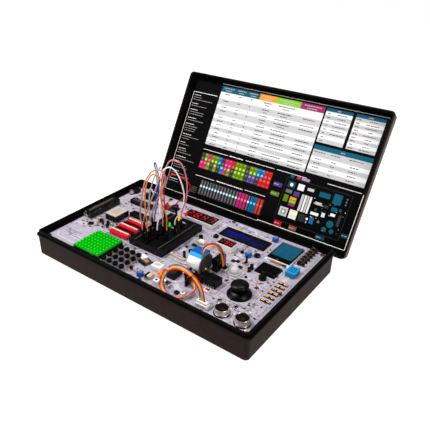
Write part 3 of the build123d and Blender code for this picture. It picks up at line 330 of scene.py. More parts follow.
class Piece:
    def __init__(self, name, M=None):
        self.name, self.M = name, M
        self.v, self.f, self.fm, self.slots = [], [], [], []

    def add(self, vs, fs, mat, M=None):
        if mat not in self.slots:
            self.slots.append(mat)
        k, base = self.slots.index(mat), len(self.v)
        for p in vs:
            q = Vector(p)
            if M is not None:
                q = M @ q
            if self.M is not None:
                q = self.M @ q
            self.v.append((q.x / 1000, q.y / 1000, q.z / 1000))
        for f in fs:
            self.f.append([i + base for i in f])
            self.fm.append(k)

    def box(self, c, size, mat, ch=0.0, rz=0.0, M=None):
        """c is the middle of the lower face."""
        hx, hy, hz = size[0] / 2, size[1] / 2, size[2] / 2
        T = Matrix.Translation((c[0], c[1], c[2] + hz)) @ Matrix.Rotation(math.radians(rz), 4, "Z")
        if M is not None:
            T = M @ T
        if ch <= 0:
            vs = [(sx * hx, sy * hy, sz * hz) for sx in (-1, 1) for sy in (-1, 1) for sz in (-1, 1)]
            fs = [(0, 1, 3, 2), (4, 6, 7, 5), (0, 4, 5, 1), (2, 3, 7, 6), (0, 2, 6, 4), (1, 5, 7, 3)]
            self.add(vs, fs, mat, T)
            return
        ch = min(ch, hx * 0.9, hy * 0.9, hz * 0.9)
        vs, idx = [], {}
        for sx in (-1, 1):
            for sy in (-1, 1):
                for sz in (-1, 1):
                    idx[sx, sy, sz, 0] = len(vs)
                    vs.append((sx * hx, sy * (hy - ch), sz * (hz - ch)))
                    idx[sx, sy, sz, 1] = len(vs)
                    vs.append((sx * (hx - ch), sy * hy, sz * (hz - ch)))
                    idx[sx, sy, sz, 2] = len(vs)
                    vs.append((sx * (hx - ch), sy * (hy - ch), sz * hz))
        fs = []
        for s in (-1, 1):
            fs.append([idx[s, -1, -1, 0], idx[s, 1, -1, 0], idx[s, 1, 1, 0], idx[s, -1, 1, 0]])
            fs.append([idx[-1, s, -1, 1], idx[1, s, -1, 1], idx[1, s, 1, 1], idx[-1, s, 1, 1]])
            fs.append([idx[-1, -1, s, 2], idx[1, -1, s, 2], idx[1, 1, s, 2], idx[-1, 1, s, 2]])
        for a in (-1, 1):
            for b in (-1, 1):
                fs.append([idx[a, b, -1, 0], idx[a, b, 1, 0], idx[a, b, 1, 1], idx[a, b, -1, 1]])
                fs.append([idx[a, -1, b, 0], idx[a, 1, b, 0], idx[a, 1, b, 2], idx[a, -1, b, 2]])
                fs.append([idx[-1, a, b, 1], idx[1, a, b, 1], idx[1, a, b, 2], idx[-1, a, b, 2]])
        for sx in (-1, 1):
            for sy in (-1, 1):
                for sz in (-1, 1):
                    fs.append([idx[sx, sy, sz, 0], idx[sx, sy, sz, 1], idx[sx, sy, sz, 2]])
        self.add(vs, fs, mat, T)

    def lathe(self, c, prof, mat, n=28, axis="Z", M=None):
        """prof is a closed-ended profile of (radius, height) from bottom to top; radius 0 makes a pole."""
        T = axis_matrix(c, axis)
        if M is not None:
            T = M @ T
        vs, rings = [], []
        for r, z in prof:
            if r <= 1e-6:
                rings.append([len(vs)])
                vs.append((0, 0, z))
            else:
                rings.append([len(vs) + i for i in range(n)])
                vs += [(r * math.cos(2 * math.pi * i / n), r * math.sin(2 * math.pi * i / n), z) for i in range(n)]
        fs = []
        for a, b in zip(rings, rings[1:]):
            if len(a) == 1 and len(b) == 1:
                continue
            for i in range(n):
                j = (i + 1) % n
                if len(a) == 1:
                    fs.append([a[0], b[j], b[i]])
                elif len(b) == 1:
                    fs.append([a[i], a[j], b[0]])
                else:
                    fs.append([a[i], a[j], b[j], b[i]])
        if len(rings[0]) > 1:
            fs.append(rings[0][::-1])
        if len(rings[-1]) > 1:
            fs.append(rings[-1])
        self.add(vs, fs, mat, T)

    def ring(self, c, r0, r1, h, mat, n=32, axis="Z", ch=0.0):
        """a tube wall: inner radius r0, outer r1, height h"""
        T = axis_matrix(c, axis)
        prof = [(r0, 0), (r1, 0), (r1, h - ch), (r1 - ch, h), (r0 + ch, h), (r0, h - ch)]
        vs = [(r * math.cos(2 * math.pi * i / n), r * math.sin(2 * math.pi * i / n), z) for r, z in prof for i in range(n)]
        k, fs = len(prof), []
        for a in range(k):
            b = (a + 1) % k
            for i in range(n):
                j = (i + 1) % n
                fs.append([a * n + i, a * n + j, b * n + j, b * n + i])
        self.add(vs, fs, mat, T)

    def cyl(self, c, r, h, mat, n=24, axis="Z", ch=0.0, M=None):
        prof = [(0, 0), (r, 0), (r, h - ch), (r - ch, h), (0, h)] if ch else [(0, 0), (r, 0), (r, h), (0, h)]
        self.lathe(c, prof, mat, n, axis, M)

    def prism(self, pts, z0, z1, mat, M=None):
        n = len(pts)
        vs = [(x, y, z0) for x, y in pts] + [(x, y, z1) for x, y in pts]
        fs = [list(range(n))[::-1], [n + i for i in range(n)]]
        fs += [[i, (i + 1) % n, n + (i + 1) % n, n + i] for i in range(n)]
        self.add(vs, fs, mat, M)

    def seg(self, a, b, w, z, h, mat, M=None):
        """a thin flat bar from point a to point b"""
        d = Vector((b[0] - a[0], b[1] - a[1]))
        if d.length < 1e-6:
            return
        nrm = Vector((-d.y, d.x)).normalized() * (w / 2)
        pts = [(a[0] + nrm.x, a[1] + nrm.y), (a[0] - nrm.x, a[1] - nrm.y), (b[0] - nrm.x, b[1] - nrm.y), (b[0] + nrm.x, b[1] + nrm.y)]
        self.prism(pts, z, z + h, mat, M)

    def frame_lines(self, x0, y0, x1, y1, w, z, h, mat):
        for a, b in (((x0, y0), (x1, y0)), ((x1, y0), (x1, y1)), ((x1, y1), (x0, y1)), ((x0, y1), (x0, y0))):
            self.seg(a, b, w, z, h, mat)

    def tube(self, pts, r, mat, n=10):
        pts = [Vector(p) for p in pts]
        tang = []
        for i in range(len(pts)):
            t = (pts[min(i + 1, len(pts) - 1)] - pts[max(i - 1, 0)]).normalized()
            tang.append(t)
        side = tang[0].orthogonal().normalized()
        vs = []
        for i, (p, t) in enumerate(zip(pts, tang)):
            side = (side - t * side.dot(t)).normalized()
            other = t.cross(side)
            vs += [p + (side * math.cos(2 * math.pi * k / n) + other * math.sin(2 * math.pi * k / n)) * r for k in range(n)]
        fs = []
        for i in range(len(pts) - 1):
            for k in range(n):
                fs.append([i * n + k, i * n + (k + 1) % n, (i + 1) * n + (k + 1) % n, (i + 1) * n + k])
        fs.append(list(range(n))[::-1])
        fs.append([(len(pts) - 1) * n + k for k in range(n)])
        self.add([tuple(v) for v in vs], fs, mat)

    def done(self, body="base", angle=38.0, weld=False):
        me = bpy.data.meshes.new(self.name)
        me.from_pydata(self.v, [], self.f)
        for s in self.slots:
            me.materials.append(MAT[s])
        me.polygons.foreach_set("material_index", self.fm)
        bm = bmesh.new()
        bm.from_mesh(me)
        if weld:
            bmesh.ops.remove_doubles(bm, verts=bm.verts, dist=2e-7)
        bmesh.ops.recalc_face_normals(bm, faces=bm.faces)
        bm.to_mesh(me)
        bm.free()
        me.polygons.foreach_set("use_smooth", [True] * len(me.polygons))
        me.set_sharp_from_angle(angle=math.radians(angle))
        me.update()
        ob = bpy.data.objects.new(self.name, me)
        scene.collection.objects.link(ob)
        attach(ob, body)
        return ob


def paint(node, mat):
    ob = nodes[node]
    if not ob.material_slots:
        ob.data.materials.append(MAT[mat])
    for s in ob.material_slots:
        s.material = MAT[mat]


# ------------------------------------------------------------------ cords first
routes = {
    "wire_orange": [
        (-32.6, -28.3, 53.5), (-32.6, -28.3, 60.5), (-33.5, -28.4, 72.2), (-33.8, -29.0, 83.9), (-33.3, -29.6, 95.6),
        (-32.1, -30.2, 107.3), (-29.1, -30.9, 118.7), (-24.0, -31.6, 129.1), (-16.3, -32.2, 138.7), (-8.5, -30.0, 136.6),
        (-7.4, -26.5, 126.9), (-12.4, -23.7, 116.9), (-15.4, -21.2, 105.7), (-17.3, -17.5, 94.8), (-16.6, -13.8, 83.6),
        (-14.3, -11.9, 72.2), (-15.4, -11.5, 60.5), (-15.4, -11.5, 53.5)],
    "wire_salmon": [
        (-40.1, -29.8, 53.5), (-40.1, -29.8, 60.5), (-40.8, -31.7, 71.9), (-38.4, -33.2, 83.2), (-34.8, -34.4, 94.2),
        (-31.5, -35.9, 105.2), (-28.2, -37.1, 116.3), (-24.0, -37.8, 127.1), (-17.8, -38.4, 136.9), (-10.6, -38.6, 145.9),
        (-0.3, -36.1, 149.5), (4.2, -32.7, 140.6), (0.2, -30.6, 129.8), (-5.4, -29.0, 119.8), (-11.1, -27.8, 109.8),
        (-17.3, -26.5, 100.0), (-23.1, -25.4, 90.1), (-27.1, -24.7, 79.2), (-31.7, -24.0, 68.5), (-39.9, -22.6, 60.5),
        (-39.9, -22.6, 53.5)],
    "wire_grey": [
        (-39.8, -16.0, 53.5), (-39.8, -16.0, 60.5), (-41.4, -13.3, 71.3), (-43.9, -11.6, 82.2), (-44.0, -9.6, 93.4),
        (-42.3, -7.5, 104.4), (-39.4, -5.7, 115.2), (-35.9, -2.9, 125.4), (-29.1, -2.5, 134.4), (-22.1, -9.5, 132.2),
        (-23.6, -13.8, 121.2), (-26.8, -15.7, 110.6), (-30.8, -16.7, 100.0), (-36.0, -16.6, 90.0), (-40.4, -16.5, 79.6),
        (-44.7, -16.3, 69.1), (-51.7, -14.3, 60.5), (-51.7, -14.3, 53.5)],
    "wire_blue": [
        (-51.5, 1.2, 53.5), (-51.5, 1.2, 60.5), (-50.3, 8.0, 69.5), (-51.2, 10.8, 80.4), (-52.4, 13.7, 91.3),
        (-53.8, 16.4, 102.2), (-56.3, 17.3, 113.2), (-56.8, 15.0, 124.6), (-48.7, 8.5, 130.2), (-39.8, 2.5, 125.3),
        (-35.1, -1.3, 115.6), (-33.9, -3.0, 104.5), (-34.0, -4.6, 93.3), (-35.1, -5.5, 82.0), (-38.1, -5.5, 71.2),
        (-41.7, -4.9, 60.5), (-41.7, -4.9, 53.5)],
    "wire_white": [
        (-25.1, -18.8, 53.5), (-25.1, -18.8, 60.5), (-22.2, -17.2, 71.3), (-21.7, -15.5, 82.5), (-22.4, -14.6, 93.8),
        (-22.0, -14.0, 105.1), (-21.2, -13.9, 116.4), (-19.3, -14.4, 127.6), (-14.9, -14.8, 138.3), (-6.4, -11.1, 142.6),
        (-1.2, -6.0, 133.5), (1.1, -2.7, 123.1), (2.8, -0.2, 112.2), (2.9, 1.9, 101.0), (-0.2, 3.4, 90.2),
        (-4.7, 4.4, 79.8), (-9.2, 4.9, 69.4), (-16.1, 5.1, 60.5), (-16.1, 5.1, 53.5)],
    "wire_pink": [
        (-26.2, -6.4, 53.5), (-26.2, -6.4, 60.5), (-27.9, -5.2, 72.0), (-29.4, -3.6, 83.5), (-30.1, -1.9, 95.1),
        (-30.6, -0.1, 106.7), (-30.6, 2.1, 118.2), (-28.7, 5.0, 129.3), (-23.9, 8.2, 140.4), (-13.0, 13.1, 139.5),
        (-8.3, 16.0, 128.7), (-7.0, 17.9, 117.2), (-6.7, 19.4, 105.5), (-7.9, 20.3, 93.9), (-10.0, 21.0, 82.4),
        (-14.9, 20.9, 71.7), (-18.2, 20.5, 60.5), (-18.2, 20.5, 53.5)],
    "wire_red": [
        (-53.6, 28.5, 53.5), (-53.6, 28.5, 60.5), (-52.8, 27.7, 71.9), (-53.3, 27.5, 83.4), (-51.6, 27.7, 94.7),
        (-46.4, 29.1, 105.2), (-35.6, 32.5, 108.2), (-25.6, 36.1, 103.7), (-17.6, 40.5, 96.0), (-21.5, 43.3, 85.1),
        (-29.2, 43.4, 76.6), (-35.2, 43.0, 66.9), (-44.5, 42.4, 60.5), (-44.5, 42.4, 53.5)],
    "motor_ribbon": [
        (59.0, -35.0, 60.0), (59.0, -35.0, 63.6), (59.8, -33.6, 67.1), (61.4, -31.2, 69.6), (63.6, -27.7, 70.7),
        (65.9, -24.0, 70.2), (68.2, -20.2, 67.6), (70.2, -17.0, 63.0), (71.7, -14.6, 56.6), (72.7, -13.1, 49.4),
        (73.1, -12.4, 42.6), (73.1, -12.4, 36.5)],
    "sensor_ribbon": [
        (93.6, -81.8, 38.5), (93.6, -81.8, 43.5), (92.6, -81.9, 50.4), (88.4, -81.6, 58.2), (80.4, -81.0, 64.4),
        (69.6, -80.4, 68.0), (57.4, -80.5, 67.2), (47.2, -81.8, 60.6), (41.0, -84.0, 50.6), (40.4, -87.0, 41.4),
        (44.6, -89.8, 35.2), (51.5, -91.0, 32.8), (60.5, -90.6, 32.5), (68.4, -86.5, 33.2), (73.2, -78.5, 34.2),
        (73.6, -69.5, 35.2), (68.6, -62.0, 36.0), (60.2, -60.0, 36.0)],
}


def line_points(name):
    """points in mm, read from the route's own smooth spline"""
    cu = bpy.data.curves.new(name + "_line", "CURVE")
    cu.dimensions = "3D"
    cu.resolution_u = 10
    sp = cu.splines.new("NURBS")
    sp.points.add(len(routes[name]) - 1)
    for p, q in zip(sp.points, routes[name]):
        p.co = (q[0] / 1000, q[1] / 1000, q[2] / 1000, 1.0)
    sp.order_u = 3
    sp.use_endpoint_u = True
    ob = bpy.data.objects.new(name + "_line", cu)
    scene.collection.objects.link(ob)
    me = bpy.data.meshes.new_from_object(ob.evaluated_get(bpy.context.evaluated_depsgraph_get()))
    pts = [v.co.copy() * 1000 for v in me.vertices]
    bpy.data.meshes.remove(me)
    bpy.data.objects.remove(ob)
    bpy.data.curves.remove(cu)
    return pts


wires = ["wire_orange", "wire_salmon", "wire_grey", "wire_blue", "wire_white", "wire_pink", "wire_red"]
for name in wires:
    pts = line_points(name)
    P = Piece(name + "_run")
    P.tube(pts, 0.8, name, n=12)
    ob = P.done("base", angle=80)
    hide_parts(name)
    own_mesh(ob)


def ribbon(name, colours, r, keys, gap_ends, gap_mid):
    """several separate strands side by side along one route; keys say which way the row of strands lies at each stage"""
    pts = line_points(name)
    n = len(pts)
    tang = [(pts[min(i + 1, n - 1)] - pts[max(i - 1, 0)]).normalized() for i in range(n)]
    sides = []
    for i in range(n):
        t = i / (n - 1)
        for (ta, va), (tb, vb) in zip(keys, keys[1:]):
            if t <= tb:
                break
        u = min(1.0, max(0.0, (t - ta) / (tb - ta)))
        s = Vector(va).normalized().lerp(Vector(vb).normalized(), u * u * (3 - 2 * u))
        sides.append((s - tang[i] * s.dot(tang[i])).normalized())
    P = Piece(name + "_run")
    mid = (len(colours) - 1) / 2
    for k, colour in enumerate(colours):
        line = []
        for i, p in enumerate(pts):
            t = i / (n - 1)
            e = math.sin(math.pi * t) ** 0.7
            gap = gap_ends + (gap_mid - gap_ends) * e
            wave = 0.30 * e * math.sin(5.1 * t + 2.3 * k)
            line.append(p + sides[i] * ((k - mid) * gap) + tang[i].cross(sides[i]) * wave)
        P.tube(line, r, colour, n=10)
    ob = P.done("base", angle=80)
    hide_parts(name)
    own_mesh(ob)
    return ob


ribbon("motor_ribbon", ["wire_orange", "wire_yellow", "wire_red", "wire_navy", "wire_pale"], 0.48,
       [(0.0, (-0.8, 0.5, 0)), (0.35, (-0.6, 0.3, 0.7)), (0.75, (0.9, 0.5, 0.2)), (1.0, (0, 1, 0))], 0.98, 1.05)
ribbon("sensor_ribbon", ["wire_navy", "wire_pale", "wire_yellow", "wire_orange", "wire_red"], 0.52,
       [(0.0, (1, 0, 0)), (0.16, (1, 0.1, -0.1)), (0.34, (0, -0.5, -0.9)), (0.50, (-1, 0.1, 0)), (0.60, (-0.6, -0.8, 0.1)),
        (0.74, (0.3, -1, 0.35)), (0.88, (0.7, 0.2, 0.7)), (1.0, (0, 0.3, 1))], 1.60, 1.20)

# ------------------------------------------------------------------ finishes of the CAD nodes that stay
paint("base_shell", "case_black_painted_warm_light")
paint("lid_shell", "lid_black_painted_side_light")
paint("foot_strip", "foot_rubber")
paint("hinge_pins", "steel")
paint("reference_panel", "card_black")
paint("main_board", "board")
paint("board_screws", "nickel")
paint("controller_board", "module_green")
paint("key_switches", "key_metal")
for i in range(1, 17):
    paint(f"key_cap_{i:02d}", "rubber_black")
paint("dip_switch_bodies", "red_gloss_painted_glow")
paint("dip_switch_sliders", "slider_white")
paint("display_bezel", "lcd_black")
paint("display_glass", "lcd_navy")
paint("trimmer_bodies", "trimmer_blue")
for i in (1, 2, 3):
    paint(f"trimmer_screw_{i}", "trimmer_dial")
paint("humidity_sensor", "sensor_cyan")
paint("stick_base", "stick_black")
paint("stick_gimbal", "black_satin")
paint("stick_cap", "stick_black")
paint("motor_shaft", "steel")

# ------------------------------------------------------------------ lid print
LID = Matrix((
    (1, LID_V.x, LID_W.x, LID_O.x),
    (0, LID_V.y, LID_W.y, LID_O.y),
    (0, LID_V.z, LID_W.z, LID_O.z),
    (0, 0, 0, 1),
))
W0 = -13.0


def mark(P, x0, v0, x1, v1, mat, lift=0.03):
    P.box(((x0 + x1) / 2, (v0 + v1) / 2, W0), (abs(x1 - x0), abs(v1 - v0), lift), mat)


def words(P, rng, x0, x1, v, h, mat, lift, centre=False):
    """a row of short plain bars"""
    total, parts = 0.0, []
    while total < (x1 - x0):
        w = rng.uniform(1.4, 4.6)
        if total + w > x1 - x0:
            w = x1 - x0 - total
            if w < 0.8:
                break
        parts.append((total, w))
        total += w + 0.75
    shift = 0.0
    for a, w in parts:
        mark(P, x0 + a + shift, v - h / 2, x0 + a + w + shift, v + h / 2, mat, lift)


P = Piece("lid_print", LID)
rng = random.Random(7)
# border
for x0, v0, x1, v1 in ((-158.6, 10.5, -157.8, 173.0), (-108.5, 193.2, 157.5, 194.0), (-158.6, 8.5, -22.0, 9.5),
                       (22.0, 10.3, 159.0, 11.3), (158.0, 10.3, 159.0, 89.0), (-158.6, 172.4, -112.0, 173.2)):
    mark(P, x0, v0, x1, v1, "ink_line", 0.03)
mark(P, -22.0, 8.6, 22.0, 9.4, "ink_line", 0.03)
mark(P, 21.2, 8.6, 22.0, 11.2, "ink_line", 0.03)
# left column of short plain bars, in groups
v = 168.0
group = 0
while v > 22:
    n_lines = (3, 2, 3, 2, 4, 3, 2, 3, 2, 3)[group % 10]
    for k in range(n_lines):
        if v < 22:
            break
        length = rng.uniform(14, 42) if k else rng.uniform(10, 22)
        words(P, rng, -155.0, -155.0 + length, v, 0.75, "ink_col" if k else "ink_line", 0.04)
        v -= 3.7
    v -= 2.6
    group += 1
# main table
tx = [-107.5, -81.0, -60.0, -38.0, -9.0, 30.5, 67.5]
for i, m in enumerate(("ink_teal", "ink_teal", "ink_teal", "ink_orange", "ink_lime", "ink_magenta")):
    mark(P, tx[i], 181.5, tx[i + 1], 190.7, m, 0.04)
    cx, hw = (tx[i] + tx[i + 1]) / 2, (tx[i + 1] - tx[i]) * 0.36
    words(P, rng, cx - hw, cx + hw, 187.8, 1.0, "ink_row", 0.06)
    words(P, rng, cx - hw * 0.6, cx + hw * 0.6, 184.3, 1.0, "ink_row", 0.06)
rows = [181.5, 171.0, 161.5, 155.5, 145.5, 139.5, 133.5, 127.0, 120.5, 114.0, 108.0, 101.7, 96.5]
for i, (a, b) in enumerate(zip(rows, rows[1:])):
    mark(P, tx[0], b, tx[-1], a, "ink_row" if i % 2 else "ink_white", 0.03)
    top = a - 3.0
    for j, (lo, hi) in enumerate(((-100, -88), (-73, -67), (-51.5, -48.5), (-30, -14), (-6, 26), (37, 62))):
        if j > 3 and rng.random() < 0.14:
            continue
        k = rng.uniform(0.72, 1.0)
        c, hw = (lo + hi) / 2, (hi - lo) / 2 * k
        words(P, rng, c - hw, c + hw, top, 1.3, "ink_dash", 0.06)
        if a - b > 8 and j in (3, 4):
            words(P, rng, c - hw * 0.5, c + hw * 0.5, top - 3.8, 1.05, "ink_dash", 0.06)
# two small tables and a wide one
for (x0, x1, c1, c2) in ((70.0, 109.0, (74, 78), (84, 106)), (113.5, 154.5, (116, 122), (130, 148))):
    mark(P, x0, 186.0, x1, 190.7, "ink_teal", 0.04)
    words(P, rng, (x0 + x1) / 2 - 3, (x0 + x1) / 2 + 3, 188.4, 1.0, "ink_row", 0.06)
    n = 8 if x0 < 100 else 9
    h = (186.0 - 142.0) / n
    for i in range(n):
        a = 186.0 - i * h
        mark(P, x0, a - h, x1, a, ("ink_white", "ink_row")[i % 2 if x0 < 100 else (i + 1) % 2], 0.03)
        words(P, rng, c1[0], c1[1], a - h / 2, 1.2, "ink_darkgrey", 0.06)
        if not (x0 < 100 and i > 5):
            k = rng.uniform(0.35, 1.0)
            c, hw = (c2[0] + c2[1]) / 2, (c2[1] - c2[0]) / 2 * k
            words(P, rng, c - hw, c + hw, a - h / 2, 1.05, "ink_dash", 0.06)
mark(P, 70.0, 131.5, 155.5, 138.0, "ink_teal", 0.04)
words(P, rng, 110, 116, 134.8, 1.0, "ink_row", 0.06)
for i, (a, b) in enumerate(((131.5, 122.0), (122.0, 116.0), (116.0, 110.0), (110.0, 103.5), (103.5, 97.5))):
    mark(P, 70.0, b, 155.5, a, "ink_white" if i % 2 else "ink_row", 0.03)
    for lo, hi in ((76, 86), (101, 107), (128, 140)):
        words(P, rng, lo - (4 if i == 0 else 0), hi + (4 if i == 0 else 0), a - 3.0, 1.1, "ink_darkgrey" if i == 0 else "ink_dash", 0.06)
# rules
for x0, x1, v in ((-107, -60, 88.3), (-28, 22, 89.0), (26, 74, 89.2), (106, 155.5, 90.0), (-107, -70, 45.3), (-14, 22, 46.5)):
    mark(P, x0, v - 0.35, x1, v + 0.35, "ink_line", 0.03)
words(P, rng, -57, -33, 88.6, 1.3, "ink_line", 0.04)
words(P, rng, -66, -18, 45.8, 1.3, "ink_line", 0.04)
# first strip of contacts: two rows of coloured cells, each with a round contact
cells = "gpoobgppooogobbrbooorr"
pal = {"g": ("ink_darkgrey", "ink_grey"), "p": ("ink_pink", "ink_dotpink"), "o": ("ink_olive", "ink_dotlime"),
       "b": ("ink_blue", "ink_dotblue"), "r": ("ink_red", "ink_dotred"), "v": ("ink_violet", "ink_lilac")}
upper = "gopoobgpprooogoobbrr"
lower = "ppogogbpogooogvvgrrr"
pitch = 129.0 / 20
for i in range(20):
    x0 = -106.5 + i * pitch
    for row, (va, vb, vd) in ((upper, (70.7, 83.0, 73.7)), (lower, (58.0, 70.3, 67.4))):
        a, d = pal[row[i]]
        mark(P, x0 + 0.15, va, x0 + pitch - 0.15, vb, a, 0.03)
        P.cyl((x0 + pitch / 2, vd, W0), 2.0, 0.06, d, n=14)
        words(P, rng, x0 + 1.2, x0 + pitch - 1.2, vb - 2.2 if row is upper else va + 2.2, 0.8, d, 0.05)
# second strip: grey contacts, then coloured ones
pitch = 116.0 / 21
for i in range(21):
    x0 = -93.5 + i * pitch
    key = "gggggggggggggpppgbbrr"[i]
    a = {"g": "ink_darkgrey", "p": "ink_pink", "b": "ink_blue", "r": "ink_red"}[key]
    mark(P, x0 + 0.5, 17.5, x0 + pitch - 0.5, 41.0, a, 0.03)
    mark(P, x0 + pitch / 2 - 0.9, 18.5, x0 + pitch / 2 + 0.9, 40.0, {"g": "ink_grey", "p": "ink_magenta", "b": "ink_teal", "r": "ink_brown"}[key], 0.05)
    P.cyl((x0 + pitch / 2, 31.0, W0), 1.9, 0.08, {"g": "ink_pale3", "p": "ink_dotpink", "b": "ink_dotblue", "r": "ink_dotred"}[key], n=14)
for k in range(4):
    words(P, rng, -107.0, -97.0, 26.0 - 2.7 * k, 0.8, "ink_grey", 0.04)
# lower right: a plain block plan of coloured rectangles and discs
for x0, v0, x1, v1, m in (
    (46, 20, 146, 20.5, "ink_darkgrey"), (46, 83, 146, 83.5, "ink_darkgrey"), (46, 20, 46.5, 83.5, "ink_darkgrey"), (145.5, 20, 146, 83.5, "ink_darkgrey"),
    (28, 66, 42, 72, "ink_violet"), (28, 52, 42, 58, "ink_olive"), (50, 84.5, 56, 89, "ink_teal"), (60, 84.5, 66, 88.5, "ink_pink"), (68, 84.5, 80, 88.5, "ink_lilac"),
    (50, 70, 62, 79, "ink_teal_dark"), (66, 70, 76, 79, "ink_white"), (81, 73, 91, 77, "ink_row"), (50, 62, 60, 67, "ink_grey"),
    (63, 60, 72, 67, "ink_violet"), (50, 49, 57, 59, "ink_olive"), (60, 54, 70, 58, "ink_orange"), (60, 49.5, 70, 53.5, "ink_lime"), (60, 45, 70, 49, "ink_magenta"),
    (76, 42, 80, 66, "ink_row"), (81, 42, 84, 66, "ink_white"), (85, 42, 88, 66, "ink_row"), (89, 42, 92, 66, "ink_white"),
    (100, 70, 116, 77, "ink_teal"), (121, 66, 133, 80, "ink_teal"), (98, 58, 108, 62, "ink_row"), (112, 57, 118, 61, "ink_darkgrey"), (123, 56, 131, 61.5, "ink_teal"), (134, 58, 137, 62, "ink_teal"),
    (50, 28, 63, 41, "ink_row"), (53, 31, 60, 38, "card_black"), (66, 28, 78, 31.2, "ink_pale1"), (66, 31.2, 78, 34.4, "ink_pale3"), (66, 34.4, 78, 37.6, "ink_pale2"), (66, 37.6, 78, 40.8, "ink_pale1"),
    (81, 29, 91, 39, "ink_darkgrey"), (96, 43, 108, 47, "ink_white"), (112, 44, 117, 50, "ink_pale3"), (98, 30, 104, 39, "ink_blue"), (124, 49, 131, 53, "ink_white"), (136, 38, 140, 54, "ink_darkgrey"),
    (48, 12.5, 60, 19, "ink_red"), (72, 12.5, 84, 19, "ink_brown"), (114, 13, 127, 19, "ink_teal_dark"), (147.5, 26, 157, 32, "ink_teal_dark"),
):
    mark(P, x0, v0, x1, v1, m, 0.04)
for x, v, r, m in ((56, 74.5, 2.6, "ink_white"), (56.5, 34.5, 2.2, "ink_white"), (128, 38, 5.0, "ink_teal"), (122, 29, 3.2, "ink_teal"),
                   (133, 29, 3.2, "ink_teal"), (111, 36, 2.0, "ink_grey"), (94, 35, 1.8, "ink_white"), (102, 51, 1.8, "ink_teal"), (140, 69, 1.2, "ink_grey"),
                   (140, 73, 1.2, "ink_grey"), (140, 77, 1.2, "ink_grey"), (94, 30, 1.1, "ink_row")):
    P.cyl((x, v, W0), r, 0.07, m, n=18)
for k in range(36):
    x, v = rng.uniform(94, 144), rng.uniform(24, 66)
    mark(P, x, v, x + rng.uniform(0.8, 2.6), v + rng.uniform(0.6, 1.4), rng.choice(["ink_darkgrey", "ink_grey", "ink_row"]), 0.035)
for i in range(4):
    for j in range(4):
        mark(P, 82 + i * 2.3, 30 + j * 2.3, 83.3 + i * 2.3, 31.3 + j * 2.3, "card_black", 0.06)
for x0, v0, n in ((29, 69, 1), (29, 55, 1), (49, 15.7, 1), (73, 15.7, 1), (115, 16, 1), (148.3, 29, 1)):
    words(P, rng, x0, x0 + 8, v0, 0.8, "ink_row", 0.06)
P.done("lid")

# ------------------------------------------------------------------ board print
FOOT = [  # footprints taken on the board: x0, y0, x1, y1
    (-104, -91, -59, -46), (-59, -92, -17, -50), (-97, -37, -63, 6), (-108, 13, -76, 25), (-129, -13, -106, 15), (-158, -25, -141, 59),
    (-58, -39, -1, 46), (-45, 53, 8, 75), (36, 21, 62, 37), (19, 50, 91, 75), (83, 77, 95, 88), (74, 25, 87, 37), (99, 41, 133, 84),
    (102, 7, 131, 31), (135, 22, 149, 39), (98, -55, 129, -23), (106, -88, 153, -67), (40, -50, 70, -14), (-134, 42, -94, 53), (-126, 65, -108, 79),
    (70, -50, 88, -34), (62, -23, 71, -2), (71, -16, 79, -8), (31, -82, 47, -56), (55, -67, 60, -53), (80, -84, 101, -75), (84, 32, 95, 43), (114, -4, 124, 6),
    (77, -18, 95, 0), (0, -66, 20, -51), (8, -82, 18, -72), (-3, -87, 8, -75), (136, -38, 151, 9), (134, 50, 149, 92), (-150, -92, -108, -48),
]


def free(x0, y0, x1, y1, taken):
    return all(x1 < a or x0 > c or y1 < b or y0 > d for a, b, c, d in taken)


rng = random.Random(21)
P = Piece("board_print")
# bundles of fine tracks with 45 degree bends
for k in range(64):
    x, y = rng.uniform(-150, 140), rng.uniform(-86, 84)
    horizontal = rng.random() < 0.55
    n, gap = rng.choice([2, 3, 4, 6]), 1.15
    l1, l2, l3 = rng.uniform(8, 34), rng.uniform(4, 12), rng.uniform(6, 30)
    sx, sy = rng.choice([-1, 1]), rng.choice([-1, 1])
    tone = rng.choice(["trace", "trace", "trace_light"])
    for t in range(n):
        o = t * gap
        if horizontal:
            pts = [(x, y + o), (x + sx * l1, y + o), (x + sx * (l1 + l2), y + o + sy * l2), (x + sx * (l1 + l2 + l3), y + o + sy * l2)]
        else:
            pts = [(x + o, y), (x + o, y + sy * l1), (x + o + sx * l2, y + sy * (l1 + l2)), (x + o + sx * l2, y + sy * (l1 + l2 + l3))]
        pts = [(max(-156, min(156, a)), max(-91.5, min(91.5, b))) for a, b in pts]
        for a, b in zip(pts, pts[1:]):
            P.seg(a, b, 0.42, ZP, 0.035, tone)
        for a in (pts[0], pts[-1]):
            P.cyl((a[0], a[1], ZP), 0.62, 0.06, "tin", n=10)
# thin frame lines round the fields of the board
for x0, y0, x1, y1 in ((-106, -92, -58, -45), (-58, -92.3, -16, -48), (-98, -39, -62, 7), (-60, -41, 1, 48), (-47, 51, 10, 77), (17, 49, 93, 79),
                       (34, 19, 64, 38.5), (98, 40, 134, 88), (100, 5, 133, 33), (96, -56, 131, -20), (104, -90, 155, -64), (36, -54, 92, 2),
                       (-131, -15, -104, 17), (-136, 38, -92, 56), (-128, 62, -90, 82), (133, 47, 152, 92), (134, -40, 153, 10), (66, 22, 96, 44),
                       (-5, -90, 24, -48), (28, -88, 62, -52), (76, -88, 103, -72), (74, -20, 97, 3)):
    P.frame_lines(x0, y0, x1, y1, 0.35, ZP, 0.05, "silk")
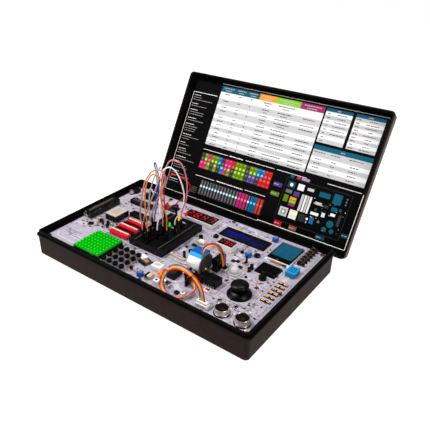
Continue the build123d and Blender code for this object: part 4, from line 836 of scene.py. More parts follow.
# short plain bars beside the parts, and small round pads
for k in range(330):
    x, y = rng.uniform(-152, 150), rng.uniform(-90, 90)
    w = rng.uniform(2.0, 6.5)
    if free(x - 1, y - 1, x + w + 1, y + 2, FOOT):
        for j in range(int(w / 1.3)):
            P.box((x + j * 1.3, y, ZP), (0.95, 1.1, 0.045), "silk")
for k in range(560):
    x, y = rng.uniform(-154, 154), rng.uniform(-91, 91)
    if free(x - 1, y - 1, x + 1, y + 1, FOOT):
        P.cyl((x, y, ZP), rng.choice([0.45, 0.55, 0.8]), 0.05, rng.choice(["copper_dark", "trace", "silk_dark", "silk_dark"]), n=8)
for x, y, w, h in ((-148, -60, 26, 0.9), (-148, -63, 20, 0.9), (-148, -66, 23, 0.9), (104, -62, 24, 0.7), (100, -66, 9, 0.7), (20, 84, 40, 0.8), (64, 84, 16, 0.8),
                   (-66, 54, 12, 0.8), (-66, 57, 9, 0.8), (12, 84, 5, 0.8)):
    for j in range(int(w / 1.5)):
        P.box((x + j * 1.5, y, ZP), (1.05, h, 0.045), "silk_dark")
rs = random.Random(91)
for k in range(170):
    x, y = (rs.uniform(108, 152), rs.uniform(-88, -12)) if k < 95 else (rs.uniform(-8, 84), rs.uniform(-88, 40))
    w, h = rs.uniform(0.5, 1.7), rs.uniform(0.5, 1.1)
    P.box((x, y, ZP), (w, h, 0.05 if k % 3 else 0.35), ("silk_dark", "beige_plastic", "silk", "copper_dark", "white_plastic")[k % 5])
# pads along the long edges
for i in range(58):
    P.box((-150 + i * 5.2, 91.4, ZP), (1.5, 1.2, 0.05), "tin")
P.done("base")


# ------------------------------------------------------------------ small soldered parts
def chip2(P, x, y, rz, l, w, h, body, ends="tin"):
    P.box((x, y, ZP), (l * 0.62, w, h), body, ch=0.08, rz=rz)
    c, s = math.cos(math.radians(rz)), math.sin(math.radians(rz))
    for k in (-1, 1):
        P.box((x + c * k * l * 0.41, y + s * k * l * 0.41, ZP), (l * 0.2, w * 1.04, h * 1.03), ends, ch=0.05, rz=rz)


def soic(P, x, y, rz, lx, ly, h, n, pitch=1.27, both=False):
    T = Matrix.Translation((x, y, 0)) @ Matrix.Rotation(math.radians(rz), 4, "Z")
    P.box((0, 0, ZP + 0.25), (lx, ly, h), "chip_black", ch=0.18, M=T)
    P.cyl((-lx / 2 + 0.9, -ly / 2 + 0.9, ZP + 0.25 + h - 0.02), 0.35, 0.03, "grey_mid", n=10, M=T)
    for i in range(n):
        o = (i - (n - 1) / 2) * pitch
        for k in (-1, 1):
            P.box((o, k * (ly / 2 + 0.45), ZP), (0.42, 1.3, 0.28), "tin", M=T)
            if both:
                P.box((k * (lx / 2 + 0.45), o, ZP), (1.3, 0.42, 0.28), "tin", M=T)


def ecap(P, x, y, r, h):
    P.box((x, y, ZP), (2.1 * r, 2.1 * r, 0.9), "black_satin", ch=0.3)
    P.lathe((x, y, ZP), [(0, 0.9), (r, 0.9), (r, h - 0.5), (r - 0.4, h), (0, h)], "aluminium", n=24)
    P.prism([(x + r * 0.86 * math.cos(a), y + r * 0.86 * math.sin(a)) for a in [math.radians(20 * i - 90) for i in range(0, 8)]], ZP + h, ZP + h + 0.05, "band_black")


def transistor(P, x, y, rz, h=5.2):
    T = Matrix.Translation((x, y, 0)) @ Matrix.Rotation(math.radians(rz), 4, "Z")
    pts = [(2.2 * math.cos(math.radians(a)), 2.2 * math.sin(math.radians(a)) + 0.3) for a in range(-20, 201, 22)]
    P.prism(pts, ZP + 1.6, ZP + 1.6 + h, "black_satin", M=T)
    for k in (-1, 0, 1):
        P.box((k * 1.27, 0.6, ZP), (0.45, 0.45, 1.8), "tin", M=T)


P = Piece("small_parts")
rng = random.Random(5)
soic(P, -134, -33.5, 38, 7.0, 7.0, 1.1, 6, 1.0, both=True)
for x, y, rz in ((-148, -35, 20), (-129, -40, 70), (-141, -40, 0), (-127, -27, 90), (-141, -26, 0), (-146, -29, 45), (-124, -34, 10)):
    chip2(P, x, y, rz, 3.4, 1.9, 1.2, "brown_part")
# cluster between the relay and the banks
for x, y, rz, kind in ((-124, -24, 10, "t"), (-118.5, -26.5, -15, "t"), (-112, -22.5, 0, "t"), (-107, -28, 80, "t")):
    transistor(P, x, y, rz, 4.6)
for x, y, rz in ((-127, -17, 0), (-121, -18, 90), (-115, -17.5, 0), (-109, -18, 90), (-104.5, -20, 0), (-104, -14, 90), (-122, -31, 0), (-114, -30.5, 0), (-102, -30, 90)):
    chip2(P, x, y, rz, 3.6, 2.1, 1.3, rng.choice(["brown_part", "tan_part", "chip_black"]))
for x, y in ((-131, -22), (-133, -15)):
    P.cyl((x, y, ZP), 2.6, 2.4, "tan_part", n=20, ch=0.4)
    P.cyl((x, y, ZP + 2.4), 1.3, 0.8, "chip_black", n=16, ch=0.2)
# back left corner
ecap(P, -152.0, 66.0, 3.0, 6.4)
P.box((-150.5, 75, ZP), (9, 11, 5.5), "black_satin", ch=0.4)
P.cyl((-150.5, 69.4, ZP + 3.0), 2.0, 1.4, "nickel", n=18, axis="-Y")
for x, y, rz in ((-138, 62, 0), (-138, 68, 0), (-133, 80, 30), (-143, 84, 0)):
    chip2(P, x, y, rz, 3.6, 2.0, 1.2, "tin")
for x, y, rz in ((-134, 60, 0), (-130, 63, 90), (-100, 80, 0), (-96, 76, 90), (-92, 83, 0), (-60, 84, 0), (-54, 80, 90)):
    chip2(P, x, y, rz, 3.2, 1.8, 1.1, rng.choice(["brown_part", "chip_black"]))
# little module with a pale block and looped red leads behind the banks
P.box((-75, 67, ZP), (25, 15, 1.2), "silk_dark", ch=0.15)
P.box((-79, 69.5, ZP + 1.2), (9, 7, 4.6), "cream", ch=0.5)
P.box((-68, 69, ZP + 1.2), (6, 8, 5.6), "black_gloss", ch=0.4)
for k, (x, y) in enumerate(((-84.5, 63.5), (-82.0, 62.5))):
    loop = [(x + 7.5 * t, y + 3.2 * math.sin(math.pi * t * 1.3), ZP + 1.4 + 7.0 * math.sin(math.pi * t)) for t in [i / 16 for i in range(17)]]
    P.tube(loop, 0.65, "wire_red", n=8)
# between the breadboard and the displays
P.box((16.6, 19.6, ZP), (10.5, 8.0, 3.8), "beige_plastic", ch=0.6, rz=4)
P.cyl((16.6, 19.6, ZP + 3.8), 3.0, 0.9, "white_plastic", n=24, ch=0.3)
P.cyl((8.8, 28.2, ZP), 2.9, 5.0, "black_gloss", n=22, ch=0.6)
P.box((22.4, 43.0, ZP), (5.5, 5.5, 3.4), "black_satin", ch=0.3)
P.cyl((22.4, 43.0, ZP + 3.4), 1.7, 1.2, "black_gloss", n=18, ch=0.2)
soic(P, 12.5, 9.5, 0, 7.0, 4.4, 1.4, 5)
P.cyl((18.2, -4.9, ZP), 3.4, 3.0, "black_gloss", n=24, ch=0.4)
P.cyl((18.2, -4.9, ZP + 3.0), 1.2, 0.05, "grey_dark", n=14)
P.cyl((19.5, -20.0, ZP), 1.9, 9.6, "black_gloss", n=20, ch=0.5)
P.box((7.0, 0.3, ZP), (3.2, 3.2, 1.6), "chip_black", ch=0.2)
chip2(P, 27, 30, 0, 3.4, 2, 1.2, "brown_part")
chip2(P, 30.5, 23, 90, 3.4, 2, 1.2, "tan_part")
chip2(P, 26.5, 13, 90, 3.4, 2, 1.2, "chip_black")
chip2(P, 31.0, 7.0, 35, 3.0, 1.8, 1.2, "brown_part")
for x, y in ((36.9, 40.6), (40.4, 40.2)):
    pass
# two pale sockets in front of them
P.box((12.4, -24.7, ZP), (23, 3.6, 2.6), "beige_plastic", ch=0.3, rz=-3)
P.box((12.4, -24.7, ZP + 2.6), (19, 1.0, 0.05), "hole_black", rz=-3)
P.box((22.4, -31.4, ZP), (16.5, 3.2, 2.2), "beige_plastic", ch=0.3, rz=3)
P.box((22.4, -31.4, ZP + 2.2), (13, 0.9, 0.05), "hole_black", rz=3)
# front, between the keys and the sensor box
P.box((-14.5, -55.8, ZP), (21, 13, 1.4), "module_green", ch=0.15, rz=-14)
P.box((-18.0, -53.0, ZP + 1.4), (9, 8, 3.2), "white_plastic", ch=0.6, rz=-14)
P.box((-9.0, -57.5, ZP + 1.4), (6, 5, 2.6), "brown_part", ch=0.4, rz=-14)
P.box((-13.0, -62.0, ZP), (12, 2.4, 2.6), "black_satin", ch=0.2, rz=-14)
chip2(P, -22.5, -44.5, 0, 4.0, 3.0, 1.6, "chip_black")
for x, y, rz in ((-22, -71, 20), (-18, -75.5, 60), (-22, -80, 0), (-14.5, -82.5, 30), (-9.5, -73, 90), (-8.5, -86, 0), (24, -88, 0), (22.5, -55, 90), (25.5, -62, 90)):
    chip2(P, x, y, rz, 3.0, 1.7, 1.1, rng.choice(["brown_part", "tan_part", "chip_black", "beige_plastic"]))
transistor(P, -13.5, -79.5, 30, 3.6)
# orange part and the pale square button beside it
P.box((19.9, -64.5, ZP), (7.0, 4.5, 4.2), "orange_part", ch=0.8, rz=15)
P.box((23.5, -68.5, ZP), (4.0, 5.5, 4.6), "orange_part", ch=0.9, rz=15)
P.box((27.2, -80.5, ZP), (6.4, 6.4, 5.0), "white_plastic", ch=0.5)
P.cyl((27.2, -80.5, ZP + 5.0), 1.5, 0.8, "black_gloss", n=18, ch=0.2)
P.box((57.2, -80.5, ZP), (5.4, 4.4, 2.6), "chip_black", ch=0.3)
for k in range(4):
    P.box((55.2 + 1.35 * k, -83.6, ZP), (0.5, 2.2, 0.5), "gold")
P.lathe((63.5, -77.6, ZP), [(0, 0), (2.6, 0), (2.6, 2.0), (2.0, 2.4), (0, 2.4)], "white_plastic", n=20)
P.cyl((63.5, -77.6, ZP + 2.4), 1.2, 0.5, "gold", n=16)
P.box((82.0, -57.5, ZP), (7.2, 6.0, 3.0), "white_plastic", ch=0.4)
P.box((81.4, -57.5, ZP + 3.0), (3.0, 3.4, 1.2), "led_red", ch=0.4)
P.box((84.2, -57.5, ZP + 3.0), (2.0, 3.6, 1.0), "black_satin", ch=0.2)
# right field
P.cyl((70.0, 33.0, ZP), 2.5, 2.4, "black_gloss", n=20, ch=0.4)
P.box((77.0, 13.0, ZP), (4.0, 4.0, 2.0), "black_satin", ch=0.25)
P.box((86.2, 18.0, ZP), (2.4, 2.4, 9.5), "black_satin", ch=0.4)
P.box((86.8, 15.6, ZP), (8.0, 6.0, 1.2), "brown_part", ch=0.3)
P.cyl((98.6, 10.0, ZP), 2.4, 7.0, "black_gloss", n=20, ch=0.6)
P.cyl((98.6, 4.6, ZP), 2.2, 5.6, "black_gloss", n=20, ch=0.6)
P.box((102.0, -8.0, ZP), (2.6, 2.6, 1.6), "black_satin", ch=0.25)
P.box((119.8, -9.2, ZP), (3.6, 1.8, 1.2), "orange_part", ch=0.2, rz=40)
P.box((122.4, -8.0, ZP), (2.0, 1.8, 1.2), "ink_teal", ch=0.2, rz=40)
for x, y in ((123, -18), (102, -61), (123, -60), (88, -27), (150, -12)):
    P.ring((x, y, ZP), 1.35, 2.7, 0.5, "nickel", n=24, ch=0.12)
    P.cyl((x, y, ZP - 0.02), 1.35, 0.1, "hole_black", n=18)
P.ring((126.8, -72.0, ZP), 1.7, 2.2, 0.3, "white_plastic", n=24)
for x, y in ((133, 3.0), (133.5, -4.5), (128, -2), (131, 15)):
    chip2(P, x, y, 90, 2.6, 1.6, 1.0, "chip_black")
for k in range(16):
    x, y = rng.uniform(133, 152), rng.uniform(-62, -43)
    P.lathe((x, y, ZP), [(0, 0), (0.9, 0), (0.75, 0.7), (0, 0.95)], "tin", n=12)
for k in range(7):
    chip2(P, rng.uniform(131, 150), rng.uniform(-62, -43), rng.choice([0, 90]), 2.6, 1.5, 0.9, rng.choice(["tan_part", "chip_black", "tin"]))
# colour display: flex, tab and standoffs
P.box((115.4, 39.2, ZP), (16.0, 3.6, 0.7), "flex_orange", ch=0.15)
P.box((126.6, 39.4, ZP), (5.6, 3.4, 0.9), "black_satin", ch=0.2)
for x, y in ((100.2, 40.0), (131.2, 39.6)):
    P.lathe((x, y, ZP), [(0, 0), (1.5, 0), (1.5, 1.0), (1.0, 1.6), (0, 1.6)], "white_plastic", n=16)
# scattered small parts wherever the board is free
taken = list(FOOT) + [(-131, -44, -99, -10), (-29, -88, 30, -44), (52, -92, 88, -50), (5, -35, 34, 47), (-90, 58, -60, 76), (-158, 58, -144, 84)]
for k in range(1500):
    x, y = rng.uniform(-150, 150), rng.uniform(-88, 88)
    big = rng.random() < 0.12
    s = 4.5 if big else 2.4
    if not free(x - s, y - s, x + s, y + s, taken):
        continue
    taken.append((x - s - 1.6, y - s - 1.6, x + s + 1.6, y + s + 1.6))
    if big:
        soic(P, x, y, rng.choice([0, 90]), 5.0, 3.9, 1.3, 4)
    else:
        chip2(P, x, y, rng.choice([0, 90]), rng.choice([2.0, 3.2]), rng.choice([1.25, 1.6]), 0.9, rng.choice(["chip_black", "brown_part", "tan_part", "chip_black"]))
P.done("base")

# ------------------------------------------------------------------ light matrix
P = Piece("matrix_light_field")
mx, my = -81.3, -68.8
P.box((mx, my, ZP), (44.0, 44.0, 4.9), "black_gloss", ch=0.3)
P.box((mx, my, ZP + 4.9), (43.6, 43.6, 0.9), "green_edge", ch=0.2)
P.box((mx, my, ZP + 5.8), (44.0, 44.0, 1.6), "green_lit", ch=0.45)
for i in range(8):
    for j in range(8):
        x, y = mx + (i - 3.5) * 5.25, my + (j - 3.5) * 5.25
        P.lathe((x, y, ZP + 7.35), [(0, 0), (2.15, 0), (1.95, 0.32), (1.4, 0.58), (0.7, 0.72), (0, 0.76)], "green_lit", n=18)
        P.lathe((x, y, ZP + 7.98), [(0, 0), (1.08, 0), (0.85, 0.10), (0, 0.14)], "green_dome", n=14)
ob = P.done("base", angle=60)
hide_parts("matrix_housing", "matrix_domes")

# ------------------------------------------------------------------ key switches: metal plates and legs
P = Piece("key_plates")
for j in range(4):
    for i in range(4):
        x, y = -53.4 + 10.1 * i, -86.3 + 10.1 * j
        for k in range(4):
            a = math.radians(45 + 90 * k)
            P.cyl((x + 3.75 * math.cos(a) * 0.98, y + 3.75 * math.sin(a) * 0.98, ZP + 3.55), 0.42, 0.14, "tin", n=10)
        P.ring((x, y, ZP + 3.58), 1.8, 2.9, 0.10, "tin", n=20)
        for sx in (-1, 1):
            for sy in (-1, 1):
                P.box((x + sx * 3.4, y + sy * 2.2, ZP), (0.9, 0.8, 2.6), "tin", ch=0.1)
        for sx in (-1, 1):
            for sy in (-1, 1):
                P.box((x + sx * 5.05, y + sy * 5.05, ZP), (2.2, 2.2, 0.06), "trace_light")
P.done("base")

# ------------------------------------------------------------------ port block along the left wall
P = Piece("port_block_shell")
cx, cy, ph = -149.9, 4.0, 9.2
P.box((cx - 5.1, cy, ZP), (5.2, 56.6, ph), "black_gloss", ch=0.9)
P.box((cx + 5.1, cy, ZP), (5.2, 56.6, ph - 0.3), "black_gloss", ch=0.9)
for k in (-1, 1):
    P.box((cx, cy + k * 25.9, ZP), (5.4, 5.0, ph - 0.2), "black_gloss", ch=0.4)
P.box((cx, cy, ZP), (5.2, 47.4, 2.4), "black_matte")
# grey strip along the slot's edge: a painted highlight on the black block
P.box((cx - 2.62, cy, ZP + 6.2), (0.5, 46.6, 2.6), "grey_mid")
P.box((cx + 0.2, cy + 20.6, ZP + 4.0), (3.4, 3.6, 5.0), "grey_dark", ch=0.3)
for i in range(17):
    y = cy - 20.32 + i * 2.54
    for k in (-1, 1):
        P.box((cx + k * 1.0, y, ZP + 2.4), (0.5, 0.5, 3.6), "gold")
# the light grey disc and plate on the black block's front end are painted light: the lit end face drawn in grey
P.lathe((cx - 3.4, cy - 28.3, ZP + 4.2), [(0, 0), (4.6, 0), (4.6, 0.6), (4.0, 1.2), (0, 1.2)], "painted_lit_grey", n=26, axis="Y")
P.box((cx - 3.4, cy - 28.0, ZP + 0.1), (8.6, 1.2, 4.4), "painted_lit_grey", ch=0.5)
P.box((cx + 4.6, cy - 28.2, ZP), (3.0, 1.6, 6.4), "silk_dark", ch=0.4)
ob = P.done("base")
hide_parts("port_block")

# ------------------------------------------------------------------ relay
P = Piece("relay_case")
P.box((-117.5, 1.0, ZP + 0.6), (20.8, 25.8, 8.6), "black_gloss", ch=0.5)
P.box((-117.5, 1.0, ZP), (19.6, 24.6, 0.8), "black_satin")
P.box((-117.5, 1.0, ZP + 9.1), (20.4, 25.4, 0.8), "cream", ch=0.3)
for k in range(5):
    P.box((-117.5 + (k - 2) * 0.2, 8.0 - 3.1 * k, ZP + 9.9), (12.0 - 1.6 * (k % 2), 0.9, 0.04), "cream_ink")
for x, y in ((-127.6, -10), (-127.6, 12), (-107.3, -10), (-107.3, 12)):
    P.box((x, y, ZP), (1.0, 1.6, 1.2), "tin")
for i in range(3):
    P.box((-123.5 + i * 5.8, -12.1, ZP + 1.6), (1.2, 0.5, 6.4), "black_satin")
ob = P.done("base")
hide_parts("relay")

# ------------------------------------------------------------------ pin headers, edge contacts, bent pins
P = Piece("header_rows")
for y in (-23.7, -7.7):
    P.box((-79.5, y, ZP), (31.0, 4.6, 5.6), "black_satin", ch=0.3)
    for i in range(12):
        for k in (-1, 1):
            P.box((-79.5 + (i - 5.5) * 2.54, y + k * 1.1, ZP + 5.55), (1.0, 1.0, 0.08), "hole_black")
P.box((-92.0, 19.0, ZP), (29.0, 10.0, 5.6), "black_satin", ch=0.4)
for i in range(10):
    for k in (-1, 0, 1):
        P.box((-92.0 + (i - 4.5) * 2.7, 19.0 + k * 2.6, ZP + 5.55), (1.1, 1.1, 0.08), "hole_black")
for y in (5.5, -2.0, -9.5, -17.0, -25.0, -33.0):
    P.box((143.5, y, ZP), (13.0, 3.6, 0.5), "black_satin", ch=0.1)
    for k in (-1, 1):
        P.lathe((143.5 + k * 3.6 - 2.7, y, ZP + 0.95), [(0, 0), (0.62, 0), (0.62, 5.4), (0, 5.4)], "gold", n=12, axis="X")
        P.box((143.5 + k * 5.7, y, ZP), (0.9, 3.2, 1.5), "gold", ch=0.15)
    P.box((143.5, y, ZP + 0.3), (2.4, 3.4, 1.25), "black_gloss", ch=0.2)
for y in (54.0, 61.0, 68.0, 75.0, 82.0, 89.0):
    P.box((138.0, y, ZP), (3.0, 4.2, 4.6), "black_satin", ch=0.3)
    for k in (-1, 1):
        # one strand of each bent pair is copper: a painted brown glint on the black pins
        line = [(137.8, y + k * 0.6, ZP + 4.2), (138.4, y + k * 0.6, ZP + 6.0), (140.6, y + k * 0.6, ZP + 6.9), (143.6, y + k * 0.6, ZP + 6.0),
                (146.0, y + k * 0.6, ZP + 4.8), (147.0, y + k * 0.6, ZP + 4.1)]
        P.tube(line, 0.42, "copper_dark" if k < 0 else "black_gloss", n=8)
    P.box((143.2, y - 0.2, ZP), (6.0, 3.0, 4.0), "black_gloss", ch=0.4)
ob = P.done("base")
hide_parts("pin_headers")

# ------------------------------------------------------------------ breadboard
P = Piece("breadboard_block")
bx, by = -29.5, 3.5
x0, x1, y0, y1 = bx - 27.5, bx + 27.5, by - 41.5, by + 41.5
rail = [-24.1, -21.56, 21.56, 24.1]
inner = [-14.0, -11.46, -8.92, -6.38, -3.84, 3.84, 6.38, 8.92, 11.46, 14.0]
holes = set()
for i in range(30):
    yy = (i - 14.5) * 2.54
    for xx in inner:
        holes.add((round(xx, 2), round(yy, 2)))
for g in range(5):
    for i in range(5):
        yy = (g * 6 + i - 14.5) * 2.54
        for xx in rail:
            holes.add((round(xx, 2), round(yy, 2)))
depth, half = 2.2, 0.62
columns = sorted(rail + inner)
edges = [-27.5 + 0.5] + [(a + b) / 2 for a, b in zip(columns, columns[1:])] + [27.5 - 0.5]
mat_top = "black_satin"


cells_y = [-41.0] + [(k - 15) * 2.54 for k in range(31)] + [41.0]


def top_strip(xa, xb, xc, ys):
    """one column of the top face, from xa to xb, with square pockets centred on xc"""
    for a, b in zip(cells_y, cells_y[1:]):
        yy = (a + b) / 2
        if not any(abs(yy - q) < 0.05 for q in ys):
            P.add([(bx + xa, by + a, ZB), (bx + xb, by + a, ZB), (bx + xb, by + b, ZB), (bx + xa, by + b, ZB)], [(0, 1, 2, 3)], mat_top)
            continue
        A = [(xa, a), (xb, a), (xb, b), (xa, b)]
        B = [(xc - half, yy - half), (xc + half, yy - half), (xc + half, yy + half), (xc - half, yy + half)]
        vs = [(bx + p, by + q, ZB) for p, q in A] + [(bx + p, by + q, ZB) for p, q in B] + [(bx + p * 0.9 + xc * 0.1, by + q * 0.9 + yy * 0.1, ZB - depth) for p, q in B]
        P.add(vs, [(0, 1, 5, 4), (1, 2, 6, 5), (2, 3, 7, 6), (3, 0, 4, 7)], mat_top)
        P.add(vs[4:], [(0, 1, 5, 4), (1, 2, 6, 5), (2, 3, 7, 6), (3, 0, 4, 7), (4, 5, 6, 7)], "hole_black")


xs = []
for c, (xa, xb) in zip(columns, zip(edges, edges[1:])):
    ys = [q for p, q in holes if abs(p - c) < 0.05]
    xb = -1.4 if c == -3.84 else xb
    xa = 1.4 if c == 3.84 else xa
    top_strip(xa, xb, c, ys)
    xs += [xa, xb]
xs = sorted(set(xs))
# channel, side walls with a small chamfer, underside
for a, b in zip(cells_y, cells_y[1:]):
    vs = [(bx - 1.4, by + a, ZB), (bx - 1.4, by + b, ZB), (bx - 1.2, by + b, ZB - 4), (bx - 1.2, by + a, ZB - 4),
          (bx + 1.2, by + a, ZB - 4), (bx + 1.2, by + b, ZB - 4), (bx + 1.4, by + b, ZB), (bx + 1.4, by + a, ZB)]
    P.add(vs, [(0, 1, 2, 3), (3, 2, 5, 4), (4, 5, 6, 7)], "black_matte")
for yy in (-41.0, 41.0):
    P.add([(bx - 1.4, by + yy, ZB), (bx - 1.2, by + yy, ZB - 4), (bx + 1.2, by + yy, ZB - 4), (bx + 1.4, by + yy, ZB)], [(0, 1, 2, 3)], "black_matte")
for yy, yo in ((-41.0, y0), (41.0, y1)):
    P.add([(bx + x, by + yy, ZB) for x in xs] + [(x1, yo, ZB - 0.5), (x0, yo, ZB - 0.5)], [tuple(range(len(xs) + 2))], "black_satin")
for xx, xo in ((-27.0, x0), (27.0, x1)):
    P.add([(bx + xx, by + y, ZB) for y in cells_y] + [(xo, y1, ZB - 0.5), (xo, y0, ZB - 0.5)], [tuple(range(len(cells_y) + 2))], "black_satin")
q = [(x0, y0), (x1, y0), (x1, y1), (x0, y1)]
vs = [(p[0], p[1], ZB - 0.5) for p in q] + [(p[0], p[1], ZP) for p in q]
P.add(vs, [(0, 1, 5, 4), (1, 2, 6, 5), (2, 3, 7, 6), (3, 0, 4, 7), (7, 6, 5, 4)], "black_satin")
# supply lines, ribs and keys of the sides
for xx, m in ((-26.0, "grey_dark"), (-19.3, "grey_mid"), (19.3, "grey_mid"), (26.0, "grey_dark")):
    P.box((bx + xx, by, ZB + 0.002), (0.34, 79.0, 0.03), m)
for xx in (-22.5, -13.5, -4.5, 4.5, 13.5, 22.5):
    P.box((bx + xx, y0 - 0.0, ZP + 1.0), (5.6, 0.7, 5.4), "black_satin", ch=0.2)
P.box((bx, y0 - 0.05, ZB - 1.9), (54.0, 0.5, 0.7), "grey_dark", ch=0.15)
P.box((bx, y0 - 0.05, ZP + 0.2), (54.0, 0.5, 0.6), "grey_dark", ch=0.15)
for xx in (-18.0, 18.0):
    P.box((bx + xx, y0 - 0.5, ZP + 1.4), (4.2, 0.9, 4.2), "grey_dark", ch=0.3)
for yy in (-28.0, 28.0):
    P.box((x1 + 0.1, by + yy, ZP + 1.2), (0.8, 4.4, 4.2), "black_satin", ch=0.25)
ob = P.done("base", angle=30, weld=True)
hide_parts("breadboard")

# crimp housings of the wires
P = Piece("wire_plugs")
for name in wires:
    for end in (routes[name][0], routes[name][-1]):
        x, y = end[0], end[1]
        P.box((x, y, ZB + 0.05), (2.5, 2.5, 13.9), "black_gloss", ch=0.25)
        P.box((x, y - 1.2, ZB + 8.2), (1.3, 0.16, 2.6), "grey_dark")
        P.box((x + 1.2, y, ZB + 9.0), (0.16, 1.0, 2.2), "black_satin")
ob = P.done("base")
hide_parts("jumper_plugs")

# ------------------------------------------------------------------ lights and resistors on the breadboard
P = Piece("light_dots")
lz = ZP + 16.2
for (x, y), m, dx in zip(((-26.5, 7.2), (-26.3, 26.5), (-26.8, 41.0)), ("led_green", "led_yellow", "led_red"), (5.2, 5.5, 6.5)):
    prof = [(0, 0), (1.9, 0), (1.9, 0.9), (1.5, 1.05), (1.5, 3.8)]
    prof += [(1.5 * math.cos(math.radians(a)), 3.8 + 1.5 * math.sin(math.radians(a))) for a in (15, 30, 45, 60, 75)] + [(0, 5.3)]
    P.lathe((x, y, lz), prof, m, n=24)
    for k in (-1, 1):
        P.tube([(x + 1.0 * k, y, ZB - 1.0), (x + 1.0 * k, y, lz + 0.2)], 0.25, "tin", n=8)
    rx, ry, rz = x + dx, y + 1.3, ZP + 14.0
    P.lathe((rx - 3.2, ry, rz), [(0, 0), (0.8, 0), (1.15, 0.45), (1.15, 1.5), (0.95, 2.0), (0.95, 4.4), (1.15, 4.9), (1.15, 5.95), (0.8, 6.4), (0, 6.4)], "resistor_blue", n=18, axis="X")
    for o, b in ((0.85, "band_red"), (2.5, "band_black"), (3.5, "band_red"), (5.2, "brass")):
        r = 1.18 if o < 1.5 or o > 4.9 else 0.98
        P.lathe((rx - 3.2 + o, ry, rz), [(0, 0), (r, 0), (r, 0.45), (0, 0.45)], b, n=18, axis="X")
    for k in (-1, 1):
        line = [(rx + k * 3.1, ry, rz)] + [(rx + k * (4.0 + math.sin(math.radians(a))), ry, rz - 1 + math.cos(math.radians(a))) for a in range(0, 91, 15)]
        line += [(rx + k * 5.0, ry, ZB - 1.0)]
        P.tube(line, 0.27, "tin", n=8)
ob = P.done("base", angle=50)
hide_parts("leds_and_resistors")

# ------------------------------------------------------------------ digit displays
SEG = {"0": "abcdef", "1": "bc", "2": "abdeg", "3": "abcdg", "4": "bcfg", "5": "acdfg", "6": "acdefg", "7": "abc", "8": "abcdefg", "9": "abcdfg"}


def digit(P, cx, cy, z, w, h, t, char, slant=0.12):
    hw, hh = w / 2, h / 2
    lines = {"a": ((-hw, hh), (hw, hh)), "g": ((-hw, 0), (hw, 0)), "d": ((-hw, -hh), (hw, -hh)), "b": ((hw, hh), (hw, 0)),
             "c": ((hw, 0), (hw, -hh)), "f": ((-hw, hh), (-hw, 0)), "e": ((-hw, 0), (-hw, -hh))}
    for k, (a, b) in lines.items():
        a, b = Vector(a), Vector(b)
        d = (b - a).normalized()
        n = Vector((-d.y, d.x))
        g = t * 0.62
        pts = [a + d * g, a + d * (g + t / 2) + n * t / 2, b - d * (g + t / 2) + n * t / 2, b - d * g, b - d * (g + t / 2) - n * t / 2, a + d * (g + t / 2) - n * t / 2]
        pts = [(cx + p.x + p.y * slant, cy + p.y) for p in pts]
        on = k in SEG[char]
        P.prism(pts, z, z + (0.10 if on else 0.05), "seg_on" if on else "seg_off")


P = Piece("digit_modules")
P.box((-18.0, 63.8, ZP), (50.0, 19.5, 6.9), "white_plastic", ch=0.25)
P.box((-18.0, 64.1, ZP + 6.9), (49.6, 18.6, 1.0), "seg_face", ch=0.2)
for i, ch_ in enumerate("2847"):
    digit(P, -36.6 + i * 12.4, 64.0, ZP + 7.9, 6.2, 12.0, 1.0, ch_)
    P.cyl((-30.8 + i * 12.4, 57.9, ZP + 7.9), 0.85, 0.08, "seg_off" if i != 1 else "seg_on", n=14)
P.box((49.2, 28.9, ZP), (22.3, 13.6, 8.5), "white_plastic", ch=0.25)
P.box((49.2, 29.1, ZP + 8.5), (21.8, 12.8, 0.95), "seg_face", ch=0.18)
for i, ch_ in enumerate("196"):
    digit(P, 42.3 + i * 7.1, 29.1, ZP + 9.42, 3.4, 7.8, 0.66, ch_)
for i in range(4):
    for (x, y) in ((-39.0 + 14 * i, 53.8), (40.6 + 5.8 * i, 21.8)):
        P.box((x, y + 0.2, ZP), (0.7, 0.7, 1.2), "tin")
ob = P.done("base")
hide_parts("digit_displays")

# ------------------------------------------------------------------ character display
P = Piece("display_rows")
rng = random.Random(3)
for row in range(2):
    for i in range(16):
        x = 55.0 + (i - 7.5) * 3.78
        y = 63.9 if row == 0 else 56.4
        lit = "lcd_blue" if (row == 0 and i < 10) or (row == 1 and i in (1, 2, 3, 4, 5, 12, 13)) else "lcd_blue_dim"
        P.box((x, y, ZP + 1.60), (3.62, 4.3 if row == 0 else 2.6, 0.05), lit)
P.box((55.0, 77.4, ZP), (70.0, 1.0, 0.35), "beige_plastic", ch=0.1)
P.done("base")

# ------------------------------------------------------------------ square colour display, small dot display
P = Piece("screens")
P.box((116.0, 62.5, ZP), (32.0, 41.0, 1.2), "white_plastic", ch=0.1)
P.box((116.0, 62.7, ZP + 1.2), (31.0, 39.6, 2.1), "dot_screen", ch=0.3)
P.box((116.2, 65.4, ZP + 3.3), (27.6, 31.6, 0.12), "teal_screen", ch=0.03)
P.box((116.5, 19.2, ZP), (27.0, 21.8, 1.1), "black_satin", ch=0.1)
P.box((116.5, 19.4, ZP + 1.1), (26.2, 19.6, 1.7), "dot_screen", ch=0.25)
P.box((116.5, 21.0, ZP + 2.8), (23.4, 11.6, 0.06), "dot_screen")
P.box((116.5, 12.3, ZP + 2.8), (24.0, 0.4, 0.06), "grey_dark")
for i in range(4):
    P.cyl((112.7 + i * 2.54, 28.9, ZP + 1.1), 0.75, 0.3, "gold", n=12)
ob = P.done("base")
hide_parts("small_displays")

# ------------------------------------------------------------------ details on the trimmers and the humidity sensor
P = Piece("trim_and_sensor_legs")
for x, y in ((89.3, 82.7), (80.4, 31.0), (2.1, -81.0)):
    P.ring((x, y, ZP + 5.58), 2.75, 3.3, 0.5, "trimmer_blue", n=28, ch=0.12)
    for k in (-1, 0, 1):
        P.box((x + k * 2.2, y - 3.8, ZP), (0.6, 0.6, 1.0), "tin")
for i in range(4):
    P.box((138.4 + 2.54 * i, 21.9, ZP), (0.6, 1.8, 0.7), "gold")
P.box((142.3, 21.2, ZP), (10.0, 0.8, 0.7), "tin", ch=0.1)
P.done("base")

